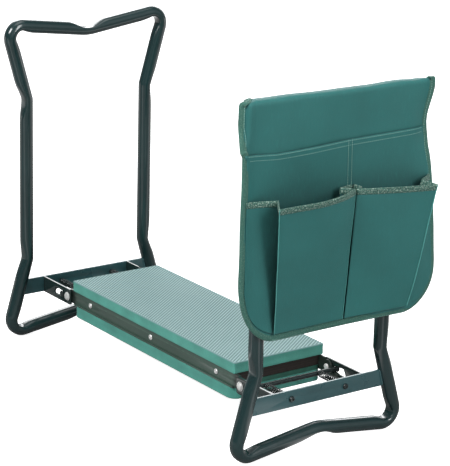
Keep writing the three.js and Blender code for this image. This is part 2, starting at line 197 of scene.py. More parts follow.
def moulded_plastic(name, colour):
    """Moulded plastic: fine spark-eroded grain with faint flow marks."""
    f = Finish(name)
    f.feed("Base Color", f.drift(f.streaks(f.place, (8, 60, 60), 3), colour, 0.85, 1.15))
    f.feed("Roughness", f.remap(f.noise(300, 2), 0.3, 0.7, 0.38, 0.55))
    f.bump(f.cells(1400), 0.03 * MM, 0.5)
    return f.material


def cut_foam(name, colour):
    """The cut side of closed-cell foam: burst cells and soft blotches."""
    f = Finish(name, Roughness=0.82, Sheen_Weight=0.15, Sheen_Roughness=0.5)
    cell = f.cells(900)
    base = f.drift(f.noise(35, 4), colour, 0.86, 1.13)
    f.feed("Base Color", f.mix(f.remap(cell, 0.1, 0.6, 0.35, 0), base, shade(colour, 0.6)))
    f.bump(cell, 0.12 * MM, 0.55)
    return f.material


def embossed_foam(name, shaded_groove, ridge):
    """Foam skin with an embossed grain: the mesh's own relief sets the colour, with painted shade in the
    grooves and the ridge colour on the crests.
    """
    f = Finish(name, Roughness=0.62, Sheen_Weight=0.25, Sheen_Roughness=0.4)
    relief = f.add("Attribute", attribute_name="relief").outputs["Fac"]
    base = f.mix(f.remap(relief, 0.1, 0.75), shaded_groove, ridge)
    f.feed("Base Color", f.mix(f.remap(f.noise(9), 0.35, 0.7, 0, 0.22), base, shade(ridge, 0.8)))
    f.bump(f.cells(1600), 0.05 * MM, 0.4)
    return f.material


def woven(name, colour):
    """Coated plain weave: warp over weft with slubs, a slightly uneven dye, and painted shade that darkens
    the cloth in creases and hollows.
    """
    f = Finish(name, Sheen_Weight=0.08, Sheen_Roughness=0.5)
    cloth = f.add("UVMap", uv_map="cloth").outputs["UV"]
    weave = f.math("MULTIPLY", *[f.wave(f.axis(cloth, axis), 1.5 * MM) for axis in "XY"])
    slub = f.streaks(cloth, (900, 60, 1), 2)
    base = f.drift(f.noise(16, 4), colour, 0.92, 1.08)
    base = f.mix(f.remap(weave, -1, 1, 0.28, 0), base, shade(colour, 0.6))
    # Painted shade: ambient occlusion takes the colour down towards a quarter of itself in creases, gussets
    # and hollows.
    ao_for_painted_shade = f.add("AmbientOcclusion", {"Distance": 110 * MM}, samples=8).outputs["AO"]
    base = f.mix(f.remap(ao_for_painted_shade, 0.3, 1, 0.75, 0), base, shade(colour, 0.25))
    f.feed("Base Color", f.mix(f.remap(slub, 0.55, 0.8, 0, 0.3), base, shade(colour, 1.5)))
    f.feed("Roughness", f.remap(weave, -1, 1, 0.72, 0.55))
    f.bump(f.math("ADD", weave, f.math("MULTIPLY", slub, 0.6)), 0.14 * MM, 0.6)
    return f.material


def ribbed_tape(name, colour, light, speckle):
    """Herringbone binding: slanted ribs, with pale and dark flecks where threads surface."""
    f = Finish(name, Roughness=0.75, Sheen_Weight=0.1)
    cloth = f.add("UVMap", uv_map="cloth").outputs["UV"]
    chevron = f.math("PINGPONG", f.axis(cloth, "Y"), 2.4 * MM)
    rib = f.wave(f.math("ADD", f.axis(cloth, "X"), chevron), 2.1 * MM)
    pale = f.streaks(cloth, (540, 540, 1), 1)
    dark = f.streaks(cloth, (580, 580, 1), 1, shift=(3, 5, 0))
    base = f.mix(f.remap(rib, -1, 1, 0.45, 0), colour, shade(colour, 0.5))
    base = f.mix(f.remap(pale, 0.52, 0.62, 0, speckle), base, light)
    f.feed("Base Color", f.mix(f.remap(dark, 0.53, 0.63, 0, speckle), base, shade(colour, 0.15)))
    f.bump(f.math("ADD", rib, pale), 0.2 * MM, 0.7)
    return f.material


def thread_finish(name, colour):
    """Polyester sewing thread with its two plies showing."""
    f = Finish(name, Roughness=0.5, Sheen_Weight=0.3)
    twist = f.noise(2500, 1)
    f.feed("Base Color", f.mix(twist, shade(colour, 0.7), shade(colour, 1.25)))
    f.bump(twist, 0.05 * MM, 0.5)
    return f.material


tube_coat = powder_coat("tube_coat", srgb(27, 51, 52), 0.2)
bar_coat = powder_coat("bar_coat", srgb(52, 90, 94), 0.3)
plate_coat = powder_coat("plate_coat", srgb(30, 46, 44), 0.2)
# The side rails' ends get painted shade.
rail_coat = powder_coat("rail_coat", srgb(66, 88, 78), 0.42, shade_painted_ends=True)
bright_zinc = plated("bright_zinc", (0.95, 0.95, 0.93), 0.34, 0.35)
black_zinc = plated("black_zinc", (0.022, 0.032, 0.032), 0.16, 0.2)
plywood = stained_plywood("plywood", srgb(10, 12, 9), srgb(44, 32, 25))
seat_plastic = moulded_plastic("seat_plastic", srgb(40, 92, 78))
foam_side = cut_foam("foam_side", srgb(90, 171, 156))
# The top's ridges are coloured far paler than the cut sides: painted sheen from light grazing the top. Its
# grooves get painted shade.
foam_top = embossed_foam("foam_top", srgb(44, 100, 96), srgb(150, 189, 190))
seat_foam_side = cut_foam("seat_foam_side", srgb(82, 162, 148))
# The seat pad's skin gets painted shade in its grooves.
seat_foam_top = embossed_foam("seat_foam_top", srgb(52, 118, 104), srgb(92, 164, 148))
bag_cloth = woven("bag_cloth", srgb(39, 115, 112))
bag_tape = ribbed_tape("bag_tape", srgb(62, 118, 105), srgb(142, 178, 162), 0.2)
rim_tape = ribbed_tape("rim_tape", srgb(64, 112, 100), srgb(176, 204, 188), 0.7)
strap_web = ribbed_tape("strap_web", srgb(40, 70, 62), srgb(90, 130, 118), 0.3)
# A paler copy of the bag cloth: painted highlight along the pockets' fold edges.
fold_highlight_cloth = woven("fold_highlight_cloth", srgb(84, 166, 160))
sewing_thread = thread_finish("sewing_thread", srgb(136, 188, 176))


# ---------------------------------------------------------------- mesh tools


def linked(name, data):
    """A new object in the scene."""
    made = bpy.data.objects.new(name, data)
    bpy.context.scene.collection.objects.link(made)
    return made


def add_piece(name, body, shape, materials, node=None, uv=None, face_material=None, sharp=None):
    """Shows a (verts, faces) pair riding on a body, with the given materials, in place of a CAD node."""
    verts, faces = shape
    mesh = bpy.data.meshes.new(name)
    mesh.from_pydata([tuple(v) for v in verts], [], faces)
    for material in materials:
        mesh.materials.append(material)
    if face_material is not None:
        mesh.polygons.foreach_set("material_index", face_material)
    if uv is not None:
        corners = np.empty(len(mesh.loops), np.int32)
        mesh.loops.foreach_get("vertex_index", corners)
        layer = mesh.uv_layers.new(name="cloth")
        layer.data.foreach_set("uv", np.asarray(uv, np.float32)[corners].ravel())
    mesh.polygons.foreach_set("use_smooth", [True] * len(mesh.polygons))
    if sharp:
        mesh.set_sharp_from_angle(angle=math.radians(sharp))
    mesh.update()
    piece = linked(name, mesh)
    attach(piece, body)
    if node:
        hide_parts(node)
    return piece


def grid_faces(rows, columns, wrap_rows=False, wrap_columns=False):
    """Quads between neighbouring points of a rows by columns grid, numbered row by row."""
    faces = []
    for i in range(rows if wrap_rows else rows - 1):
        here, below = i * columns, (i + 1) % rows * columns
        for j in range(columns if wrap_columns else columns - 1):
            k = (j + 1) % columns
            faces.append((here + j, here + k, below + k, below + j))
    return faces


def grid_rim(rows, columns):
    """(row, column) of the points round the edge of a grid."""
    rim = [(i, 0) for i in range(rows)]
    rim += [(rows - 1, j) for j in range(1, columns)]
    rim += [(i, columns - 1) for i in range(rows - 2, -1, -1)]
    return rim + [(0, j) for j in range(columns - 2, 0, -1)]


def unit(vectors):
    return vectors / np.maximum(np.linalg.norm(vectors, axis=-1, keepdims=True), 1e-12)


def tangents(points, closed=False):
    if closed:
        return unit(np.roll(points, -1, 0) - np.roll(points, 1, 0))
    return unit(np.gradient(points, axis=0))


def swept(centres, across, up, section, closed=False):
    """Carries a closed 2-D section along centres, on the unit axes across and up. Ends are capped."""
    section = np.broadcast_to(section, (len(centres), *np.shape(section)[-2:]))
    verts = centres[:, None] + section[..., :1] * across[:, None] + section[..., 1:] * up[:, None]
    rows, columns = verts.shape[:2]
    faces = grid_faces(rows, columns, wrap_rows=closed, wrap_columns=True)
    if not closed:
        faces.append(tuple(range(columns))[::-1])
        faces.append(tuple(range((rows - 1) * columns, rows * columns)))
    return verts.reshape(-1, 3), faces


def travelled(points):
    """How far along a line each of its points lies."""
    steps = np.linalg.norm(np.diff(points, axis=0), axis=1)
    return np.concatenate([[0], np.cumsum(steps)])


def swept_uv(centres, section):
    """Metres along the sweep and round its section, for every point that swept() makes."""
    section = np.broadcast_to(section, (len(centres), *np.shape(section)[-2:]))
    about = np.array([travelled(outline) for outline in section])
    along = np.broadcast_to(travelled(centres)[:, None], about.shape)
    return np.stack([along, about], -1).reshape(-1, 2)


def ring(radius, sides):
    angle = np.arange(sides) * 2 * math.pi / sides
    return np.stack([radius * np.cos(angle), radius * np.sin(angle)], 1)


def round_wire(points, radius, sides=10):
    """A round wire along points, with a frame that doesn't twist."""
    direction = tangents(points)
    across = np.zeros_like(points)
    guide = np.array([0.0, 0.0, 1.0]) if abs(direction[0][2]) < 0.9 else np.array([1.0, 0, 0])
    for i, d in enumerate(direction):
        guide = unit(guide - d * guide.dot(d))
        across[i] = guide
    return swept(points, across, np.cross(direction, across), ring(radius, sides))


def lathe(profile, origin, axis, sides=40):
    """Turns (radius, height) pairs that start and end on the axis; height runs along axis."""
    axis = unit(np.array(axis, float))
    across = unit(np.cross(axis, [0.3, 0.5, 0.8]))
    up = np.cross(axis, across)
    circle = ring(1, sides)
    spin = circle[:, :1] * across + circle[:, 1:] * up
    verts, faces = [], []
    for radius, height in profile:
        centre = np.array(origin, float) + axis * height
        verts.extend([centre] if radius == 0 else list(centre + spin * radius))
    starts = np.cumsum([0] + [1 if radius == 0 else sides for radius, _ in profile])
    for i in range(len(profile) - 1):
        a, b = starts[i], starts[i + 1]
        for j in range(sides):
            k = (j + 1) % sides
            if profile[i][0] == 0:
                faces.append((a, b + k, b + j))
            elif profile[i + 1][0] == 0:
                faces.append((a + j, a + k, b))
            else:
                faces.append((a + j, a + k, b + k, b + j))
    return verts, [f[::-1] for f in faces]


def merged(parts):
    """Several (verts, faces) pairs as one."""
    verts, faces = [], []
    for part_verts, part_faces in parts:
        start = len(verts)
        verts.extend(tuple(v) for v in part_verts)
        faces.extend(tuple(start + i for i in f) for f in part_faces)
    return verts, faces


def rounded_corner(corners, i):
    """The arc that rounds one corner of a closed outline of (x, y, bend radius) corners: its centre,
    its first point and how far it turns."""
    here, bend = Vector(corners[i][:2]), corners[i][2]
    before = (Vector(corners[i - 1][:2]) - here).normalized()
    after = (Vector(corners[(i + 1) % len(corners)][:2]) - here).normalized()
    opening = before.angle(after)
    centre = here + (before + after).normalized() * (bend / math.sin(opening / 2))
    start = here + before * (bend / math.tan(opening / 2))
    turn = (math.pi - opening) * (1 if after.cross(before) > 0 else -1)
    return centre, start, turn


def arc_points(centre, start, turn, steps):
    """Points from start round centre."""
    arm = start - centre
    return [centre + Matrix.Rotation(turn * k / steps, 2) @ arm for k in range(steps + 1)]


def rounded_outline(corners, arc_step=math.radians(6)):
    """Points of a closed outline of (x, y, bend radius) corners."""
    points = []
    for i, (x, y, bend) in enumerate(corners):
        if bend:
            centre, start, turn = rounded_corner(corners, i)
            steps = max(2, math.ceil(abs(turn) / arc_step))
            points += [tuple(p) for p in arc_points(centre, start, turn, steps)]
        else:
            points.append((x, y))
    return points


PLATE_EASE = 0.35 * MM


def plate(outlines, thickness, place, bevel=PLATE_EASE):
    """A flat plate from an outline and its holes, with rounded edges, as (verts, faces)."""
    curve = bpy.data.curves.new("plate", "CURVE")
    curve.dimensions = "2D"
    curve.fill_mode = "BOTH"
    curve.extrude = thickness / 2 - bevel
    curve.bevel_depth = bevel
    curve.bevel_resolution = 2
    curve.offset = -bevel
    for outline in outlines:
        spline = curve.splines.new("POLY")
        spline.points.add(len(outline) - 1)
        spline.points.foreach_set("co", [c for x, y in outline for c in (x, y, 0, 1)])
        spline.use_cyclic_u = True
    maker = linked("plate", curve)
    mesh = bpy.data.meshes.new_from_object(maker.evaluated_get(bpy.context.evaluated_depsgraph_get()))
    bpy.data.objects.remove(maker)
    solid = bmesh.new()
    solid.from_mesh(mesh)
    bmesh.ops.remove_doubles(solid, verts=solid.verts, dist=1e-6)
    bmesh.ops.recalc_face_normals(solid, faces=solid.faces)
    solid.transform(place)
    verts = [tuple(v.co) for v in solid.verts]
    faces = [tuple(v.index for v in f.verts) for f in solid.faces]
    solid.free()
    bpy.data.meshes.remove(mesh)
    return verts, faces


def across_y(y):
    """Stands a plate drawn in (x, z) in the plane at y."""
    return Matrix(((1, 0, 0, 0), (0, 0, -1, y), (0, 1, 0, 0), (0, 0, 0, 1)))


def across_x(x):
    """Stands a plate drawn in (y, z) in the plane at x."""
    return Matrix(((0, 0, 1, x), (1, 0, 0, 0), (0, 1, 0, 0), (0, 0, 0, 1)))


def circle_outline(x, y, radius, sides=32):
    return [(x + p[0], y + p[1]) for p in ring(radius, sides)]


def smooth(low, high, value):
    """0 at low, 1 at high, with an even curve between."""
    t = np.clip((value - low) / (high - low), 0, 1)
    return t * t * (3 - 2 * t)


def smooth_min(a, b, softness):
    """The smaller of two values, blended where they nearly meet."""
    blend = np.maximum(softness - np.abs(a - b), 0) / softness
    return np.minimum(a, b) - blend * blend * softness / 4


# ---------------------------------------------------------------- leg loops

LOOP_LOW, LOOP_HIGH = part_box("right_leg_loop")
TUBE_RADIUS = (LOOP_HIGH.x - LOOP_LOW.x) / 2
LOOP_X = (LOOP_HIGH.x + LOOP_LOW.x) / 2
GROUND_Z = LOOP_LOW.z
LOOP_RISE = 470 * MM
CORNER_Y = 136 * MM
WAIST_Y = 103.5 * MM
WAIST_RISE = 113.5 * MM
BAR_DIP = 18.5 * MM
CORNER_BEND = 18 * MM
WAIST_BEND = 14 * MM
DIP_BEND = 75 * MM
BEND_PRESSED = 0.46
DIP_PRESSED = 0.62
PRESS_FADE = 33 * MM
TUBE_SIDES = 56
FINE_STEP = 0.9 * MM
COARSE_STEP = 5 * MM
FINE_REACH = 34 * MM


def straight(start, end, normal):
    """(point, concave normal) pairs inside a straight run, fine near its ends and coarse in its middle."""
    run = end - start
    marks = list(np.arange(FINE_STEP, min(FINE_REACH, run.length / 2), FINE_STEP))
    middle = run.length - 2 * marks[-1]
    count = max(1, round(middle / COARSE_STEP))
    inner = [marks[-1] + middle * k / count for k in range(1, count)]
    side = Vector((-run.y, run.x)).normalized()
    side = side if side.dot(normal) > 0 else -side
    places = marks + inner + [run.length - m for m in reversed(marks)]
    return [(start + run.normalized() * place, side) for place in places]


def loop_centre_line():
    """One loop in (y, z): its (point, concave normal) pairs and its bends. A bend is (index of its first
    point, half its length, share of the tube pressed in)."""
    half = [
        (-CORNER_Y, 0, CORNER_BEND, BEND_PRESSED),
        (0, BAR_DIP, DIP_BEND, DIP_PRESSED),
        (CORNER_Y, 0, CORNER_BEND, BEND_PRESSED),
        (WAIST_Y, WAIST_RISE, WAIST_BEND, BEND_PRESSED),
        (WAIST_Y, LOOP_RISE - WAIST_RISE, WAIST_BEND, BEND_PRESSED),
    ]
    corners = half + [(-y, LOOP_RISE - z, bend, share) for y, z, bend, share in half]
    arcs = [rounded_corner(corners, i) for i in range(len(corners))]
    line, bends = [], []
    for i, (centre, start, turn) in enumerate(arcs):
        half_arc = abs(turn) * corners[i][2] / 2
        steps = max(3, math.ceil(2 * half_arc / FINE_STEP))
        arc = arc_points(centre, start, turn, steps)
        bends.append((len(line), half_arc, corners[i][3]))
        line += [(point, (centre - point).normalized()) for point in arc]
        next_centre, next_start, _ = arcs[(i + 1) % len(arcs)]
        line += straight(arc[-1], next_start, (next_centre - next_start).normalized())
    return line, bends


def leg_loop(end, side):
    """A closed loop of round tube. A press bender has flattened it on the inner side of each bend,
    which leaves a scooped face that fades out along the tube and a little swelling to either side."""
    line, bends = loop_centre_line()
    lift = GROUND_Z + TUBE_RADIUS - min(point.y for point, _ in line)
    centre = np.array([(side * LOOP_X, point.x, point.y + lift) for point, _ in line])
    ahead = tangents(centre, closed=True)
    sideways = np.tile([1.0, 0, 0], (len(centre), 1))
    left = np.cross(sideways, ahead)
    distance = travelled(centre)
    length = distance[-1] + np.linalg.norm(centre[0] - centre[-1])
    circle = ring(TUBE_RADIUS, TUBE_SIDES)
    width = np.tile(circle[:, 0], (len(centre), 1))
    height = np.tile(circle[:, 1], (len(centre), 1))
    for index, (first, half_arc, share) in enumerate(bends):
        away = np.abs(distance - distance[first] - half_arc)
        away = np.minimum(away, length - away)
        near = np.argmin(away)
        facing = 1 if left[near].dot((0, *line[near][1])) > 0 else -1
        deepest = share + 0.05 * math.sin(2.7 * index + side)
        flat = min(half_arc * 0.5, 4 * MM)
        pressed = deepest * smooth(flat + PRESS_FADE, flat, away)[:, None]
        hollow = 0.08 * TUBE_RADIUS * pressed * (1 - (width / TUBE_RADIUS) ** 2)
        clipped = smooth_min(facing * height, TUBE_RADIUS * (1 - pressed) - hollow, 0.9 * MM)
        squashed = np.minimum(facing * height, facing * height * (1 - pressed))
        height = facing * (clipped + squashed) / 2
        width = width * (1 + 0.11 * pressed * smooth(-1, 0.9, facing * height / TUBE_RADIUS))
    tube = swept(centre, sideways, left, np.stack([width, height], -1), closed=True)
    node = f"{end}_leg_loop"
    add_piece(f"{node}_tube", f"{end}_leg", tube, [tube_coat], node)


for end, side in ENDS:
    leg_loop(end, side)


# ---------------------------------------------------------------- crossbars, hinge plates and locks

BAR_LOW, BAR_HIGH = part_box("right_crossbar")
PLATE_LOW, PLATE_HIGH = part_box("right_rear_hinge_plate")
RIVET_LOW, RIVET_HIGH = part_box("right_rear_pivot_rivet")
ROD_LOW, ROD_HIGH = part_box("right_lock_rod")
BOLT_LOW, BOLT_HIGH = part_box("right_rear_spring_bolt")
NUT_LOW, NUT_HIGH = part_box("right_rear_spring_nut")
SPRING_LOW, SPRING_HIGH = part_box("right_rear_lock_spring")
PIVOT = ((RIVET_LOW.x + RIVET_HIGH.x) / 2, (RIVET_LOW.z + RIVET_HIGH.z) / 2)
RIVET_HOLE = 3.3 * MM
ROD_X = (ROD_LOW.x + ROD_HIGH.x) / 2
ROD_RADIUS = 3.5 * MM
SPRING_Y = (BOLT_LOW.y + BOLT_HIGH.y) / 2
BOLT_RADIUS = 2 * MM
LOCK_TRAVEL = 14 * MM
BOLT_CLEARANCE = 0.3 * MM
BOLT_HEAD = 3.2 * MM
THREAD_PITCH = 0.8 * MM
THREAD_ROOT = 0.86
SPRING_TURNS = 12.5
SPRING_WIRE = 0.75 * MM
WELD_RADIUS = 1.4 * MM
WELD_RIPPLES = 13


def crossbar():
    """Flat bar between the legs, with a bead of weld at each corner where it meets the tube."""
    lower = BAR_HIGH.y
    upper = lower - (BAR_HIGH.z - BAR_LOW.z) * (CORNER_Y - WAIST_Y) / WAIST_RISE
    outline = [(-lower, BAR_LOW.z), (lower, BAR_LOW.z), (upper, BAR_HIGH.z), (-upper, BAR_HIGH.z)]
    holes = [circle_outline(sign * SPRING_Y, PIVOT[1], BOLT_RADIUS + BOLT_CLEARANCE) for sign in (-1, 1)]
    middle = (BAR_LOW.x + BAR_HIGH.x) / 2
    parts = [plate([outline] + holes, BAR_HIGH.x - BAR_LOW.x, across_x(middle))]
    parts += [weld_bead(x, sign, lower, upper) for sign in (-1, 1) for x in (BAR_LOW.x, BAR_HIGH.x)]
    return merged(parts)


def weld_bead(face_x, sign, lower, upper):
    """A rippled bead up the joint between bar and tube."""
    t = np.linspace(0.04, 0.96, 60)
    z = BAR_LOW.z + (BAR_HIGH.z - BAR_LOW.z) * t
    y = sign * (lower + (upper - lower) * t + 0.2 * MM)
    points = np.stack([np.full_like(z, face_x), y, z], 1)
    ripple = 1 + 0.1 * np.sin(t * 2 * math.pi * WELD_RIPPLES)
    taper = np.sqrt(np.clip(np.minimum(t - 0.03, 0.97 - t) * 14, 0.02, 1))
    section = ring(WELD_RADIUS, 12)[None] * (ripple * taper)[:, None, None]
    across = np.tile([1.0, 0, 0], (len(points), 1))
    return swept(points, across, np.cross(tangents(points), across), section)


def hinge_plate(sign):
    """Plate from crossbar to pivot with the flared slot that the lock rod slides in."""
    outline = rounded_outline([
        (PLATE_LOW.x, PLATE_LOW.z, 3 * MM),
        (PLATE_HIGH.x, PLATE_LOW.z, 0),
        (PLATE_HIGH.x, PLATE_HIGH.z, 0),
        (PLATE_LOW.x, PLATE_HIGH.z, 3 * MM),
    ])
    seat = ROD_RADIUS + 0.3 * MM
    far = ROD_X + LOCK_TRAVEL + seat
    slot = rounded_outline([
        (ROD_X - seat, PIVOT[1] - seat, seat * 0.8),
        (far + 7 * MM, PIVOT[1] - seat - 1.4 * MM, 2 * MM),
        (far + 1 * MM, PIVOT[1] + seat + 2 * MM, 2 * MM),
        (ROD_X - seat, PIVOT[1] + seat, seat * 0.8),
    ])
    hole = circle_outline(*PIVOT, RIVET_HOLE)
    middle = sign * (PLATE_LOW.y + PLATE_HIGH.y) / 2
    return plate([outline, slot, hole], PLATE_HIGH.y - PLATE_LOW.y, across_y(middle))


def profile(start, *pairs):
    """Points to turn on a lathe, from (radius, height above start) pairs in millimetres."""
    return [(radius * MM, start + height * MM) for radius, height in pairs]


def pivot_rivet(sign):
    """Domed head and washer outside, flattened tail inside."""
    tail = profile(RIVET_LOW.y, (0, 0), (2.6, 0.05), (3.9, 0.5), (4.5, 1.2), (4.4, 2.1), (3, 2.15))
    washer = profile(PLATE_HIGH.y, (3, 0.15), (6.4, 0.15), (6.5, 0.65), (5.6, 1.25), (5.3, 1.3))
    dome = profile(RIVET_HIGH.y, (4.7, -0.55), (3.2, -0.15), (0, 0))
    return lathe(tail + washer + dome, (PIVOT[0], 0, PIVOT[1]), (0, sign, 0))


def lock_rod():
    """Rod across both plates, with an upset head beyond each."""
    tip = ROD_HIGH.y
    half = [(ROD_RADIUS, tip - 2.4 * MM)]
    half += profile(tip, (4.5, -2.3), (4.7, -1.9), (4.4, -1), (3, -0.3), (0, 0))
    both = [(radius, -height) for radius, height in reversed(half)] + half
    return lathe(both, (ROD_X, 0, PIVOT[1]), (0, 1, 0), 28)


def lock_spring(sign):
    """Compression spring with its end coils closed."""
    wire = SPRING_WIRE
    radius = (SPRING_HIGH.z - SPRING_LOW.z) / 2 - wire
    t = np.linspace(0, 1, int(SPRING_TURNS * 22))
    closed = 0.5 - 0.5 * np.cos(math.pi * t)
    x = SPRING_LOW.x + wire + (SPRING_HIGH.x - SPRING_LOW.x - 2 * wire) * (0.75 * t + 0.25 * closed)
    angle = 2 * math.pi * SPRING_TURNS * t
    y = sign * SPRING_Y + radius * np.cos(angle)
    return round_wire(np.stack([x, y, PIVOT[1] + radius * np.sin(angle)], 1), wire, 8)


def spring_bolt(sign):
    """Pan head outside the crossbar, threaded shank running inside the spring."""
    head = BOLT_HIGH.x - BOLT_HEAD
    root = BOLT_RADIUS * THREAD_ROOT
    turned = [(0, BOLT_LOW.x), (BOLT_RADIUS * 0.8, BOLT_LOW.x)]
    for k in range(int((head - BOLT_LOW.x) / THREAD_PITCH) - 1):
        base = BOLT_LOW.x + (k + 0.5) * THREAD_PITCH
        turned += [(root, base), (BOLT_RADIUS, base + THREAD_PITCH / 2)]
    turned.append((root, head))
    turned += profile(head, (3.9, 0), (4, 0.5), (3.8, 1.6), (3, 2.6), (1.6, 3), (1.4, 2.3), (0, 2.3))
    return lathe(turned, (0, sign * SPRING_Y, PIVOT[1]), (1, 0, 0), 28)


def spring_nut(sign):
    outline = circle_outline(sign * SPRING_Y, PIVOT[1], 4 * MM, 6)
    hole = circle_outline(sign * SPRING_Y, PIVOT[1], BOLT_RADIUS + BOLT_CLEARANCE, 24)
    middle = (NUT_LOW.x + NUT_HIGH.x) / 2
    return plate([outline, hole], NUT_HIGH.x - NUT_LOW.x, across_x(middle), 0.25 * MM)


def add_fitting(body, part, end_side, material, node, detail, sharp=35):
    """Shows a part made for the right end, turned half way round for the left end."""
    verts, faces = part
    placed = [(end_side * x, end_side * y, z) for x, y, z in verts], faces
    return add_piece(f"{node}_{detail}", body, placed, [material], node, sharp=sharp)


FITTINGS = (
    (hinge_plate, plate_coat, "bar_coat", "hinge_plate", "steel"),
    (pivot_rivet, bright_zinc, "bright_zinc", "pivot_rivet", "head"),
    (spring_bolt, black_zinc, "black_zinc", "spring_bolt", "pan"),
    (spring_nut, black_zinc, "black_zinc", "spring_nut", "hex"),
)

for end, end_side in ENDS:
    leg = f"{end}_leg"
    add_fitting(leg, crossbar(), end_side, bar_coat, f"{end}_crossbar", "flat")
    add_fitting(f"{end}_lock", lock_rod(), end_side, black_zinc, f"{end}_lock_rod", "bar")
    for side_name, sign in SIDES:
        own = sign * end_side
        prefix = f"{end}_{side_name}_"
        for make, material, slot, kind, detail in FITTINGS:
            body = "board" if make is pivot_rivet else leg
            add_fitting(body, make(own), end_side, material, prefix + kind, detail)
        spring = add_fitting(leg, lock_spring(own), end_side, black_zinc,
                             prefix + "lock_spring", "coil", sharp=None)
        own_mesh(spring)


# ---------------------------------------------------------------- board

RAIL_LOW, RAIL_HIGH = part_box("rear_side_rail")
SCREW_LOW, SCREW_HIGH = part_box("rear_rail_screw_3")
RAIL_WEB = 2.4 * MM
RAIL_OUTER_Y = RAIL_HIGH.y - 3.2 * MM
FLANGE_THICK = 2.2 * MM
FLANGE_HALF = 202 * MM
RAIL_EASE = 0.3 * MM
EAR_RADIUS = 10.1 * MM
EAR_START = math.radians(117)
EAR_STEPS = 24
HEEL_CUT = 2 * MM


def rail_outline():
    """The rail's web with an ear and a heel at each end, seen from the side."""
    arc = [EAR_START * (1 - k / EAR_STEPS) for k in range(EAR_STEPS + 1)]
    right = [(PIVOT[0] + EAR_RADIUS * math.cos(EAR_START), RAIL_HIGH.z)]
    right += [(PIVOT[0] + EAR_RADIUS * math.cos(a), PIVOT[1] + EAR_RADIUS * math.sin(a)) for a in arc]
    heel_top = PIVOT[1] - ROD_RADIUS - 0.5 * MM
    right += [
        (PIVOT[0] + EAR_RADIUS, heel_top),
        (RAIL_HIGH.x - HEEL_CUT, heel_top),
        (RAIL_HIGH.x, heel_top - HEEL_CUT),
        (RAIL_HIGH.x, RAIL_LOW.z),
    ]
    return right + [(-x, z) for x, z in reversed(right)]


def side_rail(sign):
    """The upright web with its two pivot holes, on a flange that carries the seat board."""
    holes = [circle_outline(end_side * PIVOT[0], PIVOT[1], RIVET_HOLE) for _, end_side in ENDS]
    middle = RAIL_OUTER_Y - RAIL_WEB / 2
    web = plate([rail_outline()] + holes, RAIL_WEB, across_y(sign * middle), RAIL_EASE)
    flange = [(-FLANGE_HALF, middle), (FLANGE_HALF, middle)]
    flange += [(-x, RAIL_HIGH.y) for x, _ in flange]
    stand = Matrix.Translation((0, 0, RAIL_LOW.z + FLANGE_THICK / 2)) @ Matrix.Diagonal((1, sign, 1, 1))
    return merged([web, plate([flange], FLANGE_THICK, stand, RAIL_EASE)])


def rail_screw(x, sign):
    """Domed head with a cross recess's shallow dimple."""
    head = SCREW_HIGH.y - 2 * MM
    shank = profile(SCREW_LOW.y, (0, 0), (2, 3))
    dome = profile(head, (2, 0), (3.9, 0), (4, 0.35), (3.5, 1.2), (2.4, 1.8), (1.2, 2), (0.9, 1.3), (0, 1.2))
    return lathe(shank + dome, (x, 0, (SCREW_LOW.z + SCREW_HIGH.z) / 2), (0, sign, 0), 28)


SCREW_PITCH = (SCREW_LOW.x + SCREW_HIGH.x) / 2
for side_name, sign in SIDES:
    node = f"{side_name}_side_rail"
    add_piece(f"{node}_steel", "board", side_rail(sign), [rail_coat], node, sharp=35)
    for k in range(3):
        node = f"{side_name}_rail_screw_{k + 1}"
        screw = rail_screw((k - 1) * SCREW_PITCH, sign)
        add_piece(f"{node}_head", "board", screw, [bright_zinc], node, sharp=40)


def dress_cad_node(node, material, bevel):
    """A CAD node that stays, with its own material and edges eased by a bevel."""
    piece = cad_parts[node]
    piece.data.materials.clear()
    piece.data.materials.append(material)
    custom = piece.data.attributes.get("custom_normal")
    if custom:
        piece.data.attributes.remove(custom)
    weld = piece.modifiers.new("weld", "WELD")
    weld.merge_threshold = 1e-5
    ease = piece.modifiers.new("bevel", "BEVEL")
    ease.width = bevel
    ease.segments = 3
    ease.limit_method = "ANGLE"
    ease.angle_limit = math.radians(40)
    ease.harden_normals = True


dress_cad_node("core_board", plywood, 0.5 * MM)
dress_cad_node("seat_board", seat_plastic, 0.8 * MM)


# ---------------------------------------------------------------- foam pads

PAD_EDGE = 1.6 * MM
PAD_SIDE_RINGS = 9
SKIN_SUNK = 0.25 * MM
RIDGE_PITCH = 4.15 * MM
RIDGE_SLANT = math.radians(36)
BEAD_PITCH = 3.2 * MM
BEAD_SKEW = 0.4
BEAD_DEPTH = 0.3


def marks_between(low, high, spacing, edge):
    """Even marks from low to high, with a few extra close to each end for the rounded edge."""
    extra = [edge * s for s in (0, 0.12, 0.3, 0.55, 1.0)]
    count = max(2, round((high - low - 2 * edge) / spacing))
    middle = list(np.linspace(low + edge, high - edge, count + 1))[1:-1]
    return np.array([low + e for e in extra] + middle + [high - e for e in reversed(extra)])


def embossing(x, y):
    """Relief from 0 to 1: slanted ridges pinched into rows of beads."""
    across = x * math.cos(RIDGE_SLANT) + y * math.sin(RIDGE_SLANT)
    along = -x * math.sin(RIDGE_SLANT) + y * math.cos(RIDGE_SLANT)
    ridge = 0.5 + 0.5 * np.cos(2 * math.pi * across / RIDGE_PITCH)
    broken = 0.5 + 0.5 * np.cos(2 * math.pi * (along + across * BEAD_SKEW) / BEAD_PITCH)
    return ridge * (1 - BEAD_DEPTH + BEAD_DEPTH * broken)


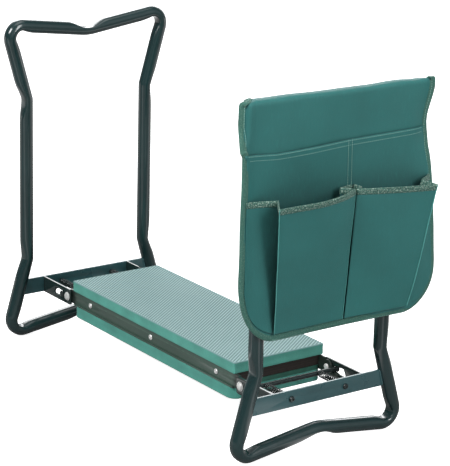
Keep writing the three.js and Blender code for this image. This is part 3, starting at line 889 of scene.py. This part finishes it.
def pad_grid(half_x, half_y, corner, spacing):
    """(x, y, distance in from the edge) of a grid over a slab with rounded corners."""
    xs = marks_between(-half_x, half_x, spacing, PAD_EDGE)
    if corner > 3 * MM:
        arc = half_x - corner + corner * np.sin(np.linspace(0, math.pi / 2, 14))
        xs = np.concatenate([-arc[::-1], xs[np.abs(xs) < half_x - corner], arc])
    shares = marks_between(-half_y, half_y, spacing, PAD_EDGE) / half_y
    past = np.clip(np.abs(xs) - (half_x - corner), 0, corner)
    reach = (half_y - corner + np.sqrt(np.maximum(corner**2 - past**2, 0)))[:, None]
    x = np.repeat(xs[:, None], len(shares), 1)
    y = reach * shares[None]
    return x, y, np.minimum(half_x - np.abs(x), reach - np.abs(y))


def pad_sides(rim, top, base, seed):
    """Rings of points from a pad's rounded edge down its cut sides, which aren't quite true."""
    ahead = np.roll(rim, -1, 0) - np.roll(rim, 1, 0)
    outward = unit(np.stack([ahead[:, 1], -ahead[:, 0]], 1))
    outward *= np.sign((outward * rim).sum(1))[:, None]
    rings = []
    for t in np.arange(1, PAD_SIDE_RINGS + 1) / PAD_SIDE_RINGS:
        drawn_in = 5 * MM * max(0.0, t - 0.9) + 0.35 * MM * math.sin(math.pi * t)
        wave = np.array([noise.noise((x * 22, y * 22, t * 1.5 + seed)) for x, y in rim])
        shift = wave * 0.3 * MM * math.sin(math.pi * min(t, 0.95)) - drawn_in
        z = top + (base[0] - top) * t if t < 1 else base[1]
        rings.append(np.column_stack([rim + outward * np.minimum(shift, 0)[:, None], np.full(len(rim), z)]))
    return rings


def foam_pad(name, node, corner, faces_up, materials, spacing, relief_depth):
    """A slab of foam: embossed skin on its open side, eased edges, cut sides."""
    low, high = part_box(node)
    top, base, down = (high.z, low.z, -1) if faces_up else (low.z, high.z, 1)
    half_x, half_y = (high.x - low.x) / 2, (high.y - low.y) / 2
    x, y, inset = pad_grid(half_x, half_y, corner, spacing)
    fall = PAD_EDGE - np.sqrt(np.maximum(PAD_EDGE**2 - np.clip(PAD_EDGE - inset, 0, PAD_EDGE) ** 2, 0))
    inner = smooth(0.6 * PAD_EDGE, 1.6 * PAD_EDGE, inset)
    relief = embossing(x, y) * inner
    dished = 0.15 * MM * np.sin(x / half_x * 2.2 + 0.4) * np.cos(y / half_y * 1.3)
    sunk = relief_depth * (1 - relief) + SKIN_SUNK + dished
    skin = np.stack([x, y, top + down * (fall * 0.999 + sunk * inner)], -1).reshape(-1, 3)
    rows, columns = x.shape
    rim = [i * columns + j for i, j in grid_rim(rows, columns)]
    levels = (base - down * 0.4 * MM, base)
    rings = pad_sides(skin[rim][:, :2], top + down * PAD_EDGE, levels, 7 * faces_up)
    faces = grid_faces(rows, columns)
    face_material = [0] * len(faces)
    upper = rim
    for k in range(len(rings)):
        lower = [len(skin) + k * len(rim) + i for i in range(len(rim))]
        faces += zip(upper, lower, lower[1:] + lower[:1], upper[1:] + upper[:1])
        upper = lower
    faces.append(tuple(reversed(upper)))
    if not faces_up:
        faces = [face[::-1] for face in faces]
    face_material += [1] * (len(faces) - len(face_material))
    shape = np.concatenate([skin, *rings]), faces
    piece = add_piece(name, "board", shape, materials, node, face_material=face_material, sharp=70)
    values = np.zeros(len(piece.data.vertices), np.float32)
    values[: len(skin)] = (relief + 0.5 * (1 - inner)).ravel()
    piece.data.attributes.new("relief", "FLOAT", "POINT").data.foreach_set("value", values)
    mesh = bmesh.new()
    mesh.from_mesh(piece.data)
    bmesh.ops.recalc_face_normals(mesh, faces=mesh.faces)
    mesh.to_mesh(piece.data)
    mesh.free()


foam_pad("kneeling_pad_foam", "kneeling_pad", 2 * MM, True, (foam_top, foam_side),
         0.82 * MM, 0.45 * MM)
foam_pad("seat_pad_foam", "seat_pad", 14 * MM, False, (seat_foam_top, seat_foam_side),
         1.1 * MM, 0.3 * MM)


# ---------------------------------------------------------------- tool bag

BAG_LOW, BAG_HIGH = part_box("bag_panel")
BAG_X = BAG_HIGH.x - 1 * MM
FLAP_X = BAG_LOW.x + 1 * MM
FLAP_Z = BAG_HIGH.z - 88 * MM
HEM_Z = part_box("bag_flat_pocket")[1].z
FOOT_Z, RIM_Z = (corner.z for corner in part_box("bag_front_pocket"))
SPLIT_Y = (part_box("bag_front_pocket")[1].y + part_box("bag_rear_pocket")[0].y) / 2
SEAM_Y = SPLIT_Y - 4.5 * MM
FOLD_HEIGHT = 14 * MM
FLAP_INSET_FRONT = 20 * MM
FLAP_INSET_REAR = 3 * MM
FOOT_ZONE = 60 * MM
FRONT_ROUND, FRONT_ROUND_RISE = 60 * MM, 92 * MM
REAR_ROUND, REAR_ROUND_RISE = 54 * MM, 78 * MM
WAIST_DRAWN = 10 * MM
FLAT_INSET = 5 * MM
FLAT_FOOT_ZONE = 55 * MM
FLAT_OFF = 1.9 * MM
SEAM_OFF = 2.4 * MM
STANDING_OFF = 3.1 * MM
CLOTH = 1.1 * MM
TAPE_WIDTH = 10 * MM
TAPE_STEP = 1.1 * MM
TAPE_PROUD = 1 * MM
STITCH_PITCH = 3.2 * MM
STITCH_LENGTH = 2.5 * MM
THREAD_RADIUS = 0.32 * MM
WAIST_Z = RIM_Z + 62 * MM
STRAP_GAP = 1.1 * MM
STRAP_THICK = 1.3 * MM
STRAP_ARC = (62, 298)
STRAP_TAIL = (30, 27, 24, 21, 18, 15.5)


def bag_edges(z):
    """Front and rear edge of the hanging sheet at a height: upright sides, round foot, and a rear edge
    that is drawn in between the top fold and the pockets."""
    above = z - BAG_LOW.z
    front_round = FRONT_ROUND * foot_round(above / FRONT_ROUND_RISE)
    rear_round = REAR_ROUND * foot_round(above / REAR_ROUND_RISE)
    drawn = WAIST_DRAWN * np.exp(-(((z - WAIST_Z - 6 * MM) / (34 * MM)) ** 2))
    jog = 3.2 * MM * smooth(HEM_Z - 2 * MM, HEM_Z - 8 * MM, z) * smooth(HEM_Z - 70 * MM, HEM_Z - 8 * MM, z)
    front = BAG_LOW.y - 0.6 * MM + 2.2 * MM * smooth(WAIST_Z, RIM_Z, z) + front_round
    front = front + 3.7 * MM * top_share(z) + jog
    rear = BAG_HIGH.y + 0.8 * MM - rear_round - drawn
    rear = rear + 2.6 * MM * smooth(WAIST_Z - 30 * MM, WAIST_Z - 8 * MM, z)
    return front, rear


def top_share(z):
    """0 at the flat pocket's hem, 1 near the fold over the leg's top bar."""
    return smooth(HEM_Z - 4 * MM, BAG_HIGH.z - 30 * MM, z)


def foot_rise(y, z):
    """How much the sheet's lower edge slants up towards the rear."""
    return 7 * MM * smooth(-0.09, 0.12, y) * smooth(BAG_LOW.z + 70 * MM, BAG_LOW.z, z)


def foot_round(share):
    """How far a rounded corner has come in, from 1 at the foot to 0 at its top."""
    rest = np.clip(1 - share, 0, 1)
    return 1 - np.sqrt(np.clip(1 - rest**2.2, 0, 1))


def bag_foot(y):
    """Height of the sheet's lower edge."""
    z = np.linspace(BAG_LOW.z, BAG_LOW.z + 95 * MM, 300)
    front, rear = bag_edges(z)
    foot = np.maximum(np.interp(-y, -front, z), np.interp(y, rear, z))
    return foot + foot_rise(y, foot)


def sheet_x(y, z):
    """Middle of the bag's main sheet: it leans out at the foot and its free edges curl back."""
    lean = 17 * MM * smooth(0.05, -0.16, z - RIM_Z) * smooth(-0.08, 0.16, y)
    at_waist = np.exp(-(((z - WAIST_Z) / (44 * MM)) ** 2))
    rear_curl = 8 * MM * smooth(0.118, 0.162, y) ** 1.5 * at_waist
    front_curl = -2.4 * MM * smooth(-0.122, -0.142, y) * smooth(BAG_LOW.z, WAIST_Z, z)
    front_curl = front_curl + 11.4 * MM * smooth(-0.130, -0.1435, y) ** 1.5 * top_share(z)
    hanging = smooth(BAG_HIGH.z, WAIST_Z, z)
    slack = 1.2 * MM * np.sin(y * 31 + z * 9) * np.cos(z * 17 + 0.6) * hanging
    between_legs = 1.2 * MM * np.exp(-((y / 0.06) ** 2)) * hanging
    return BAG_X + lean - rear_curl - front_curl + 0.8 * slack - between_legs


def pinch(y):
    """Share by which the fold closes past the rear end of the leg's top bar."""
    return 0.94 * smooth(0.141, 0.161, y)


def fold_sag(y):
    """How far the crest of the fold hangs below the box's top, along the bar and past its ends."""
    marks = [-0.142, -0.132, -0.12, -0.05, 0, 0.03, 0.07, 0.095, 0.113, 0.122, 0.134, 0.147, 0.158, 0.163]
    sags = [2.4, 1.8, 0.6, 1.0, 2.1, 2.6, 2.2, 1.6, 1.5, 1.9, 2.9, 2.9, 2.3, 1.4]
    return np.interp(y, marks, sags) * MM


def hem_drop(y):
    """How far the flat pocket's hem hangs below its straight line."""
    marks = [-0.145, -0.132, -0.091, -0.039, 0.015, 0.08, 0.15]
    drops = [5.4, 6.4, 9.4, 8, 6, 4.8, 3.4]
    return np.interp(y, marks, drops) * MM


def grid_normals(points):
    """Unit normals of a rows by columns grid of points, towards the bag's outside."""
    down = np.gradient(points, axis=0)
    across = np.gradient(points, axis=1)
    return unit(np.cross(down, across))


def rumple(points, size, amount, seed):
    """Moves a grid of points along its normals by smooth noise."""
    shift = [noise.noise((p[0] * size + seed, p[1] * size, p[2] * size)) for p in points.reshape(-1, 3)]
    return points - grid_normals(points) * (np.array(shift).reshape(points.shape[:-1]) * amount)[..., None]


def cloth_sheet(name, points, node, thickness=CLOTH):
    """A sheet of cloth on a grid of points, with its own thread directions and real thickness."""
    rows, columns = points.shape[:2]
    down, across = travelled(points[:, columns // 2]), travelled(points[rows // 2])
    uv = np.stack(np.meshgrid(across, down), -1).reshape(-1, 2)
    shape = points.reshape(-1, 3), grid_faces(rows, columns)
    piece = add_piece(name, "right_leg", shape, [bag_cloth], node, uv)
    solid = piece.modifiers.new("thickness", "SOLIDIFY")
    solid.thickness = thickness
    solid.offset = 0
    return piece


def oval(width, thick, sides=16, power=2.6):
    """A flattened rounded section, width across and thick through."""
    circle = ring(1, sides)
    return np.sign(circle) * np.abs(circle) ** (2 / power) * (width / 2, thick / 2)


def resampled(points, spacing, *others):
    """Points and anything that goes with them at even spacing along the line."""
    at = travelled(points)
    marks = np.linspace(0, at[-1], max(2, int(at[-1] / spacing)) + 1)
    return [np.stack([np.interp(marks, at, line[:, k]) for k in range(3)], 1) for line in (points, *others)]


def tape(name, edge, normals, inward, material, width, thick):
    """Binding folded over a raw edge, slightly puckered by its stitches."""
    edge, normals, inward = resampled(edge, TAPE_STEP, normals, inward)
    along = tangents(edge)
    normals = unit(normals - along * (normals * along).sum(1)[:, None])
    inward_flat = np.cross(along, normals)
    inward_flat *= np.sign((inward_flat * inward).sum(1))[:, None]
    pucker = np.sin(2 * math.pi * np.arange(len(edge)) * TAPE_STEP / STITCH_PITCH)
    centre = edge + inward_flat * (width / 2 - TAPE_PROUD)
    section = oval(width, thick)[None] * np.stack([1 + 0.012 * pucker, 1 + 0.06 * pucker], 1)[:, None]
    shape = swept(centre, inward_flat, normals, section)
    add_piece(name, "right_leg", shape, [material], uv=swept_uv(centre, section))


def stitch_line(points, normals, lift):
    """Separate stitches along a line: short plump strands of thread lying on the cloth."""
    points, normals = resampled(points, STITCH_PITCH, normals)
    stations = np.array([-0.5, -0.38, -0.12, 0.12, 0.38, 0.5]) * STITCH_LENGTH
    plump = np.array([0.3, 0.8, 1, 1, 0.8, 0.3]) * THREAD_RADIUS
    arch = np.array([-0.6, -0.1, 0.1, 0.1, -0.1, -0.6]) * THREAD_RADIUS
    section = ring(1, 6)[None] * plump[:, None, None]
    parts = []
    for p, n, d in zip(points, unit(normals), tangents(points)):
        centre = p + n * (lift + arch)[:, None] + d * stations[:, None]
        across = np.tile(np.cross(d, n), (len(stations), 1))
        parts.append(swept(centre, across, np.tile(n, (len(stations), 1)), section))
    return merged(parts)


def add_stitches(name, lines):
    """Stitching along (points, normals, height above them) lines."""
    shape = merged([stitch_line(*line) for line in lines])
    add_piece(name, "right_leg", shape, [sewing_thread])


def main_sheet():
    """The sheet that hangs outside the legs, creases over the top bar and ends in a flap behind it."""
    straight_top = BAG_HIGH.z - FOLD_HEIGHT
    down = np.linspace(straight_top, BAG_LOW.z + FOOT_ZONE, 95)
    foot = BAG_LOW.z + FOOT_ZONE * (1 - np.sin(np.linspace(0, math.pi / 2, 36)))
    z_front = np.concatenate([down, foot[1:]])
    z_rear = np.linspace(FLAP_Z, straight_top, 36)
    turn = np.linspace(math.pi, 0, 44)[1:-1]
    u = np.linspace(0, 1, 130)
    rows = [sheet_row(u, z, -1, 0) for z in z_rear]
    rows += [sheet_row(u, straight_top, *fold_profile(angle)) for angle in turn]
    rows += [sheet_row(u, z, 1, 0) for z in z_front]
    return np.array(rows)


def fold_profile(angle):
    """The fold seen from its end, across and up: round behind the bar, a crease towards the front."""
    across, up = math.cos(angle), math.sin(angle)
    if across > 0:
        across, up = across**0.45, up**0.45
    return across, up


def sheet_row(u, z, front_share, rise):
    """One row of the main sheet: front_share is 1 on the outer side and -1 on the flap."""
    front, rear = bag_edges(np.full_like(u, z if front_share > 0 else max(z, BAG_HIGH.z - FOLD_HEIGHT)))
    turned = (1 - front_share) / 2
    front = front + FLAP_INSET_FRONT * turned
    rear = rear - FLAP_INSET_REAR * turned
    y = front + (rear - front) * u
    outer = sheet_x(y, z)
    flap = FLAP_X + 0.7 * MM * np.sin(y * 40 + z * 25)
    flap = flap + (outer - 3.4 * MM - flap) * pinch(y)
    x = (outer + flap) / 2 + (outer - flap) / 2 * front_share
    height = FOLD_HEIGHT - CLOTH / 2 - fold_sag(y) - 0.8 * MM * (1 - front_share) * (rise > 0)
    return np.stack([x, y, z + rise * height + foot_rise(y, z)], 1)


def edge_of(points):
    """The closed edge of a grid, with its normals and the direction into the cloth."""
    rows, columns = points.shape[:2]
    rim = grid_rim(rows, columns)
    i, j = np.array(rim + rim[:1]).T
    edge = points[i, j]
    inner = points[np.clip(i, 3, rows - 4), np.clip(j, 3, columns - 4)]
    return edge, grid_normals(points)[i, j], unit(inner - edge)


sheet = rumple(main_sheet(), 21, 1 * MM, 3.0)
cloth_sheet("bag_panel_sheet", sheet, "bag_panel")
edge, normals, inward = edge_of(sheet)
lifted = 0.9 * MM * smooth(HEM_Z + 4 * MM, HEM_Z - 4 * MM, edge[:, 2]) * np.clip(normals[:, 0], 0, 1)
raised = edge + normals * lifted[:, None]
tape("bag_edge_binding", raised, normals, inward, bag_tape, TAPE_WIDTH, 3.6 * MM)
add_stitches("bag_edge_binding_stitching", [(edge + inward * 6.6 * MM, normals, 2.3 * MM)])


def on_sheet(y, z, off):
    """A point off the outer side of the main sheet."""
    return np.stack([sheet_x(y, z) + off, y, z], -1)


def flat_pocket():
    """A plain sheet sewn over the lower part of the panel, its hem gaping a little."""
    u = np.linspace(0, 1, 130)
    bottom = BAG_LOW.z + FLAT_INSET
    corner = bottom + FLAT_FOOT_ZONE
    foot = bottom + FLAT_FOOT_ZONE * (1 - np.sin(np.linspace(0, math.pi / 2, 30)))
    z = np.concatenate([np.linspace(HEM_Z, corner, 84), foot[1:]])
    z, u = np.meshgrid(z, u, indexing="ij")
    front, rear = bag_edges(z)
    y = front + FLAT_INSET + (rear - front - 2 * FLAT_INSET) * u
    near_hem = smooth(HEM_Z - 50 * MM, HEM_Z, z)
    halves = np.abs(np.sin(math.pi * (y - SPLIT_Y) / 0.15))
    gape = 1.4 * MM * near_hem**2 * np.sin(math.pi * u) ** 2 * halves
    placed = on_sheet(y, z - hem_drop(y) * near_hem, FLAT_OFF + gape)
    placed[..., 2] += foot_rise(y, z)
    return placed


hem = rumple(flat_pocket(), 30, 0.2 * MM, 9.0)
cloth_sheet("bag_flat_pocket_sheet", hem, "bag_flat_pocket", 1.2 * MM)


def line_below_top(points, drop):
    """A line across a sheet, a set drop below its top row."""
    line = []
    for column in points.swapaxes(0, 1):
        upward = column[np.argsort(column[:, 2])]
        line.append([np.interp(column[0, 2] - drop, upward[:, 2], upward[:, k]) for k in range(3)])
    return np.array(line)


hem_rows = [line_below_top(hem, drop)[3:-3] for drop in (1.8 * MM, 7.6 * MM)]
seam_z = np.linspace(HEM_Z - 7 * MM, RIM_Z - 10 * MM, 60)
split_rows = [on_sheet(np.full_like(seam_z, SEAM_Y + shift), seam_z, SEAM_OFF) for shift in (-3 * MM, 3 * MM)]
add_stitches("bag_flat_pocket_stitching", [
    (line, np.tile([1.0, 0, 0], (len(line), 1)), 0.6 * MM) for line in hem_rows + split_rows
])

PLEAT_COLUMNS = 12
FRONT_COLUMNS = 56
FIRST_EDGE = 2 * (PLEAT_COLUMNS - 1)
LAST_EDGE = FIRST_EDGE + FRONT_COLUMNS - 1


def between(low, high, t):
    """The value a share t of the way from low to high."""
    return low + (high - low) * t


def soft_line(start, end, columns):
    """A line between two folds, with points closer together near the folds."""
    s = 0.5 - 0.5 * np.cos(np.linspace(0, math.pi, columns))
    return start + (end - start) * s[:, None]


def pocket_section(folds, swell, skew, t):
    """Points (y, distance off the panel, lift) round one pocket at a share t of its height."""
    a, b, c, d, e, f = [between(np.array(foot) * MM, np.array(rim) * MM, t) for rim, foot in folds]
    s = np.linspace(0, 1, FRONT_COLUMNS)
    front = c + (d - c) * s[:, None]
    front[:, 1] += between(0.6 * MM, swell, t) * np.sin(math.pi * s**skew) ** 0.9
    sides = [soft_line(start, end, PLEAT_COLUMNS) for start, end in ((a, b), (b, c), (d, e), (e, f))]
    parts = [sides[0], sides[1][1:], front[1:], sides[2][1:], sides[3][1:]]
    return np.concatenate(parts)


def pocket(node, folds, swell, skew, seed):
    """A bellows pocket: one strip of cloth with a pleat folded in at either side of its front. folds are
    six pairs of points in mm, at the rim and at the foot: seam, inner fold, edge, edge, inner fold, seam.
    A point is (y, distance off the panel, lift)."""
    t = np.concatenate([np.linspace(0, 0.1, 8), np.linspace(0.1, 1, 62)[1:]])
    rows = []
    for share in t[::-1]:
        section = pocket_section(folds, swell, skew, share)
        y, off, lift = section[:, 0], np.maximum(section[:, 1], 0.5 * MM), section[:, 2]
        foot = np.maximum(bag_foot(y) + TAPE_WIDTH, FOOT_Z)
        z = foot + (RIM_Z - foot) * share + lift * share**3
        front, rear = bag_edges(z)
        y = np.clip(y, front + 6 * MM, rear - 6 * MM)
        rows.append(np.stack([sheet_x(y, z) + STANDING_OFF + off, y, z], 1))
    points = rumple(np.array(rows), 24, 0.9 * MM, seed)
    piece = cloth_sheet(f"{node}_bellows", points, node, 1.0 * MM)
    finer = piece.modifiers.new("finer", "SUBSURF")
    finer.levels = 1
    finer.render_levels = 1
    return points


FRONT_FOLDS = (
    ((-139, 0, 2), (-137, 0, 0)),
    ((-98, 14, 2), (-64, 1.2, 0)),
    ((-114, 38, -1.4), (-90.5, 3.6, 0)),
    ((14.5, 26, 4), (15.5, 3.4, 0)),
    ((2, 12, 4), (-6, 1.2, 0)),
    ((28.5, 0, 2), (28.5, 0, 0)),
)
REAR_FOLDS = (
    ((31.5, 0, 2), (31.5, 0, 0)),
    ((36, 11, 1), (46, 1.2, 0)),
    ((17.5, 26, 4), (18.5, 3.6, 0)),
    ((135, 42, -2), (114, 3.6, 0)),
    ((132, 14, -2), (94, 1.2, 0)),
    ((157, 0, -1), (156, 0, 0)),
)
front_pocket = pocket("bag_front_pocket", FRONT_FOLDS, 13 * MM, 1.3, 17.0)
rear_pocket = pocket("bag_rear_pocket", REAR_FOLDS, 3 * MM, 1.0, 31.0)


def fold_edges(name, points, *edges):
    """The crisp doubled edge where a pocket's front turns into its pleats, in a paler cloth that paints a
    highlight along the fold.
    """
    proud = points + (0.35 * MM, 0, 0)
    verts, faces = merged([round_wire(resampled(proud[:, j], 2 * MM)[0], radius) for j, radius in edges])
    uv = [(y, z) for _, y, z in verts]
    add_piece(name, "right_leg", (verts, faces), [fold_highlight_cloth], uv=uv)


fold_edges("bag_front_pocket_fold_edges", front_pocket, (FIRST_EDGE, 0.7 * MM), (LAST_EDGE, 0.6 * MM))
fold_edges("bag_rear_pocket_fold_edges", rear_pocket, (LAST_EDGE, 0.95 * MM))

for name, points in (("front", front_pocket), ("rear", rear_pocket)):
    lean, inward = grid_normals(points)[1], unit(points[4] - points[0])
    tape(f"bag_{name}_pocket_binding", points[0], lean, inward, rim_tape, 8.5 * MM, 2.6 * MM)


def leg_strap(side_name, side):
    """Webbing sewn to the panel on either side of a leg, passing behind the tube."""
    node = f"bag_{side_name}_strap"
    low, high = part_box(node)
    wrap = TUBE_RADIUS + STRAP_GAP
    angle = np.radians(np.linspace(*STRAP_ARC, 60))
    loop = np.stack([LOOP_X + wrap * np.cos(angle), wrap * np.sin(angle)], 1)
    tail = np.array([(BAG_X - 1.2 * MM, reach * MM) for reach in STRAP_TAIL])
    path = np.concatenate([tail, loop, tail[::-1] * (1, -1)]) + (0, side * WAIST_Y)
    points = np.column_stack([path, np.full(len(path), (low.z + high.z) / 2)])
    points, = resampled(points, 1.0 * MM)
    up = np.tile([0.0, 0, 1.0], (len(points), 1))
    section = oval(high.z - low.z, STRAP_THICK, 20, 6)
    shape = swept(points, up, np.cross(tangents(points), up), section)
    uv = swept_uv(points, section)
    add_piece(f"{node}_webbing", "right_leg", shape, [strap_web], node, uv)


for side_name, side in SIDES:
    leg_strap(side_name, side)


# ---------------------------------------------------------------- floor, light and camera

FLOOR_HALF = 14
FLOOR_STREAKS = ((6, 0.16, 1.0), (88, 0.13, 0.9), (158, 0.2, 1.3))  # azimuth, half width, strength
AWAY = (-0.81, 0.58, 0)
LIGHTS = (  # name, azimuth, elevation, distance, width, height, watts
    ("key", 12, 40, 3.0, 1.2, 1.2, 70),
    ("right", 100, 28, 3.0, 0.8, 1.8, 43),
    ("behind", 235, 26, 3.0, 2.6, 1.2, 40),
    ("top", 120, 84, 2.6, 1.8, 1.4, 12),
)
LIGHT_TARGET = Vector((0, 0, 0.1))
CAMERA_TARGET = Vector((0.02753, 0.03179, 0.11714))
CAMERA_AZIMUTH, CAMERA_ELEVATION, CAMERA_ROLL = 54.38, 16.73, 1.42
CAMERA_DISTANCE = 2.9907
CAMERA_LENS = 164.99


def direction_to(azimuth, elevation):
    a, e = math.radians(azimuth), math.radians(elevation)
    return Vector((math.sin(a) * math.cos(e), -math.cos(a) * math.cos(e), math.sin(e)))


def stage_floor():
    """White paper: nearly even white to the camera, with faint shadows. In reflections it is dull grey
    near the object, white farther behind it, and crossed by streaks of light that run out from the
    object. Upright tubes seen from above mirror the floor, so these put light lines along them."""
    f = Finish("floor_paper", Roughness=0.9)
    ray = f.add("LightPath")
    to_camera = ray.outputs["Is Camera Ray"]
    glow = f.remap(f.along(f.place, AWAY), 0.35, 1.1, 0, 0.85)
    heading = f.add("VectorMath", {0: f.place}, operation="NORMALIZE").outputs["Vector"]
    for azimuth, half_width, strength in FLOOR_STREAKS:
        a = math.radians(azimuth)
        aside = f.math("ABSOLUTE", f.along(heading, (math.cos(a), math.sin(a), 0)))
        streak = f.remap(aside, half_width, 0.3 * half_width, 0, strength)
        in_front = f.math("GREATER_THAN", f.along(heading, (math.sin(a), -math.cos(a), 0)), 0.1)
        glow = f.math("ADD", glow, f.math("MULTIPLY", streak, in_front))
    mirrored_glow = f.math("MULTIPLY", ray.outputs["Is Glossy Ray"], glow)
    paper = f.mix(f.noise(3, 2), (0.9, 0.9, 0.9), (0.93, 0.93, 0.93))
    f.feed("Base Color", f.mix(to_camera, (0.3, 0.3, 0.3), paper))
    f.feed("Specular IOR Level", 0.0)
    f.feed("Emission Color", (1.0, 1.0, 1.0))
    f.feed("Emission Strength", f.math("ADD", f.math("MULTIPLY", to_camera, 0.9), mirrored_glow))
    mesh = bpy.data.meshes.new("floor")
    corners = [(x * FLOOR_HALF, y * FLOOR_HALF) for x, y in ((-1, -1), (1, -1), (1, 1), (-1, 1))]
    mesh.from_pydata([(x, y, GROUND_Z - 0.3 * MM) for x, y in corners], [], [(0, 1, 2, 3)])
    mesh.materials.append(f.material)
    linked("floor", mesh)


def soft_light(name, azimuth, elevation, distance, width, height, power):
    """A soft box aimed at the object."""
    back = direction_to(azimuth, elevation)
    data = bpy.data.lights.new(name, "AREA")
    data.shape = "RECTANGLE"
    data.size = width
    data.size_y = height
    data.energy = power
    light = linked(name, data)
    light.location = LIGHT_TARGET + back * distance
    light.rotation_euler = (-back).to_track_quat("-Z", "Y").to_euler()
    light.visible_camera = False


def studio_world():
    """White to the camera, dim to everything else, save that the glossy parts mirror a white backdrop
    behind the object, a grey band above it and a grey wall to its right."""
    world = bpy.data.worlds.new("studio")
    bpy.context.scene.world = world
    world.use_nodes = True
    world.node_tree.nodes.clear()
    g = Graph(world.node_tree, "Generated")
    ray = g.add("LightPath")
    backdrop = g.remap(g.along(g.place, AWAY), 0.35, 0.9, 0.1, 0.9)
    overhead = g.remap(g.axis(g.place, "Z"), 0.75, 0.95, 0, 0.3)
    wall = g.remap(g.along(g.place, (0.98, 0.2, 0)), 0.45, 0.95, 0, 0.55)
    mirrored_light = g.math("ADD", g.math("ADD", backdrop, overhead), wall)
    dim = g.add("Background", {0: (0.95, 0.98, 1), 1: 0.16}).outputs[0]
    mirror = g.add("Background", {0: (0.92, 0.97, 1), 1: mirrored_light}).outputs[0]
    white = g.add("Background", {0: (1, 1, 1), 1: 1}).outputs[0]
    lit = g.add("MixShader", {0: ray.outputs["Is Glossy Ray"], 1: dim, 2: mirror}).outputs[0]
    seen = g.add("MixShader", {0: ray.outputs["Is Camera Ray"], 1: lit, 2: white}).outputs[0]
    g.add("OutputWorld", {0: seen})


def photo_camera():
    """Long lens at the viewing angle, with a slight roll."""
    back = direction_to(CAMERA_AZIMUTH, CAMERA_ELEVATION)
    data = bpy.data.cameras.new("camera")
    data.lens = CAMERA_LENS
    data.clip_end = 60
    camera = linked("camera", data)
    camera.location = CAMERA_TARGET + back * CAMERA_DISTANCE
    camera.rotation_mode = "QUATERNION"
    roll = Quaternion(back, math.radians(CAMERA_ROLL))
    camera.rotation_quaternion = roll @ (-back).to_track_quat("-Z", "Y")
    bpy.context.scene.camera = camera


stage_floor()
studio_world()
for light in LIGHTS:
    soft_light(*light)
photo_camera()
bpy.context.scene.view_settings.view_transform = "Standard"
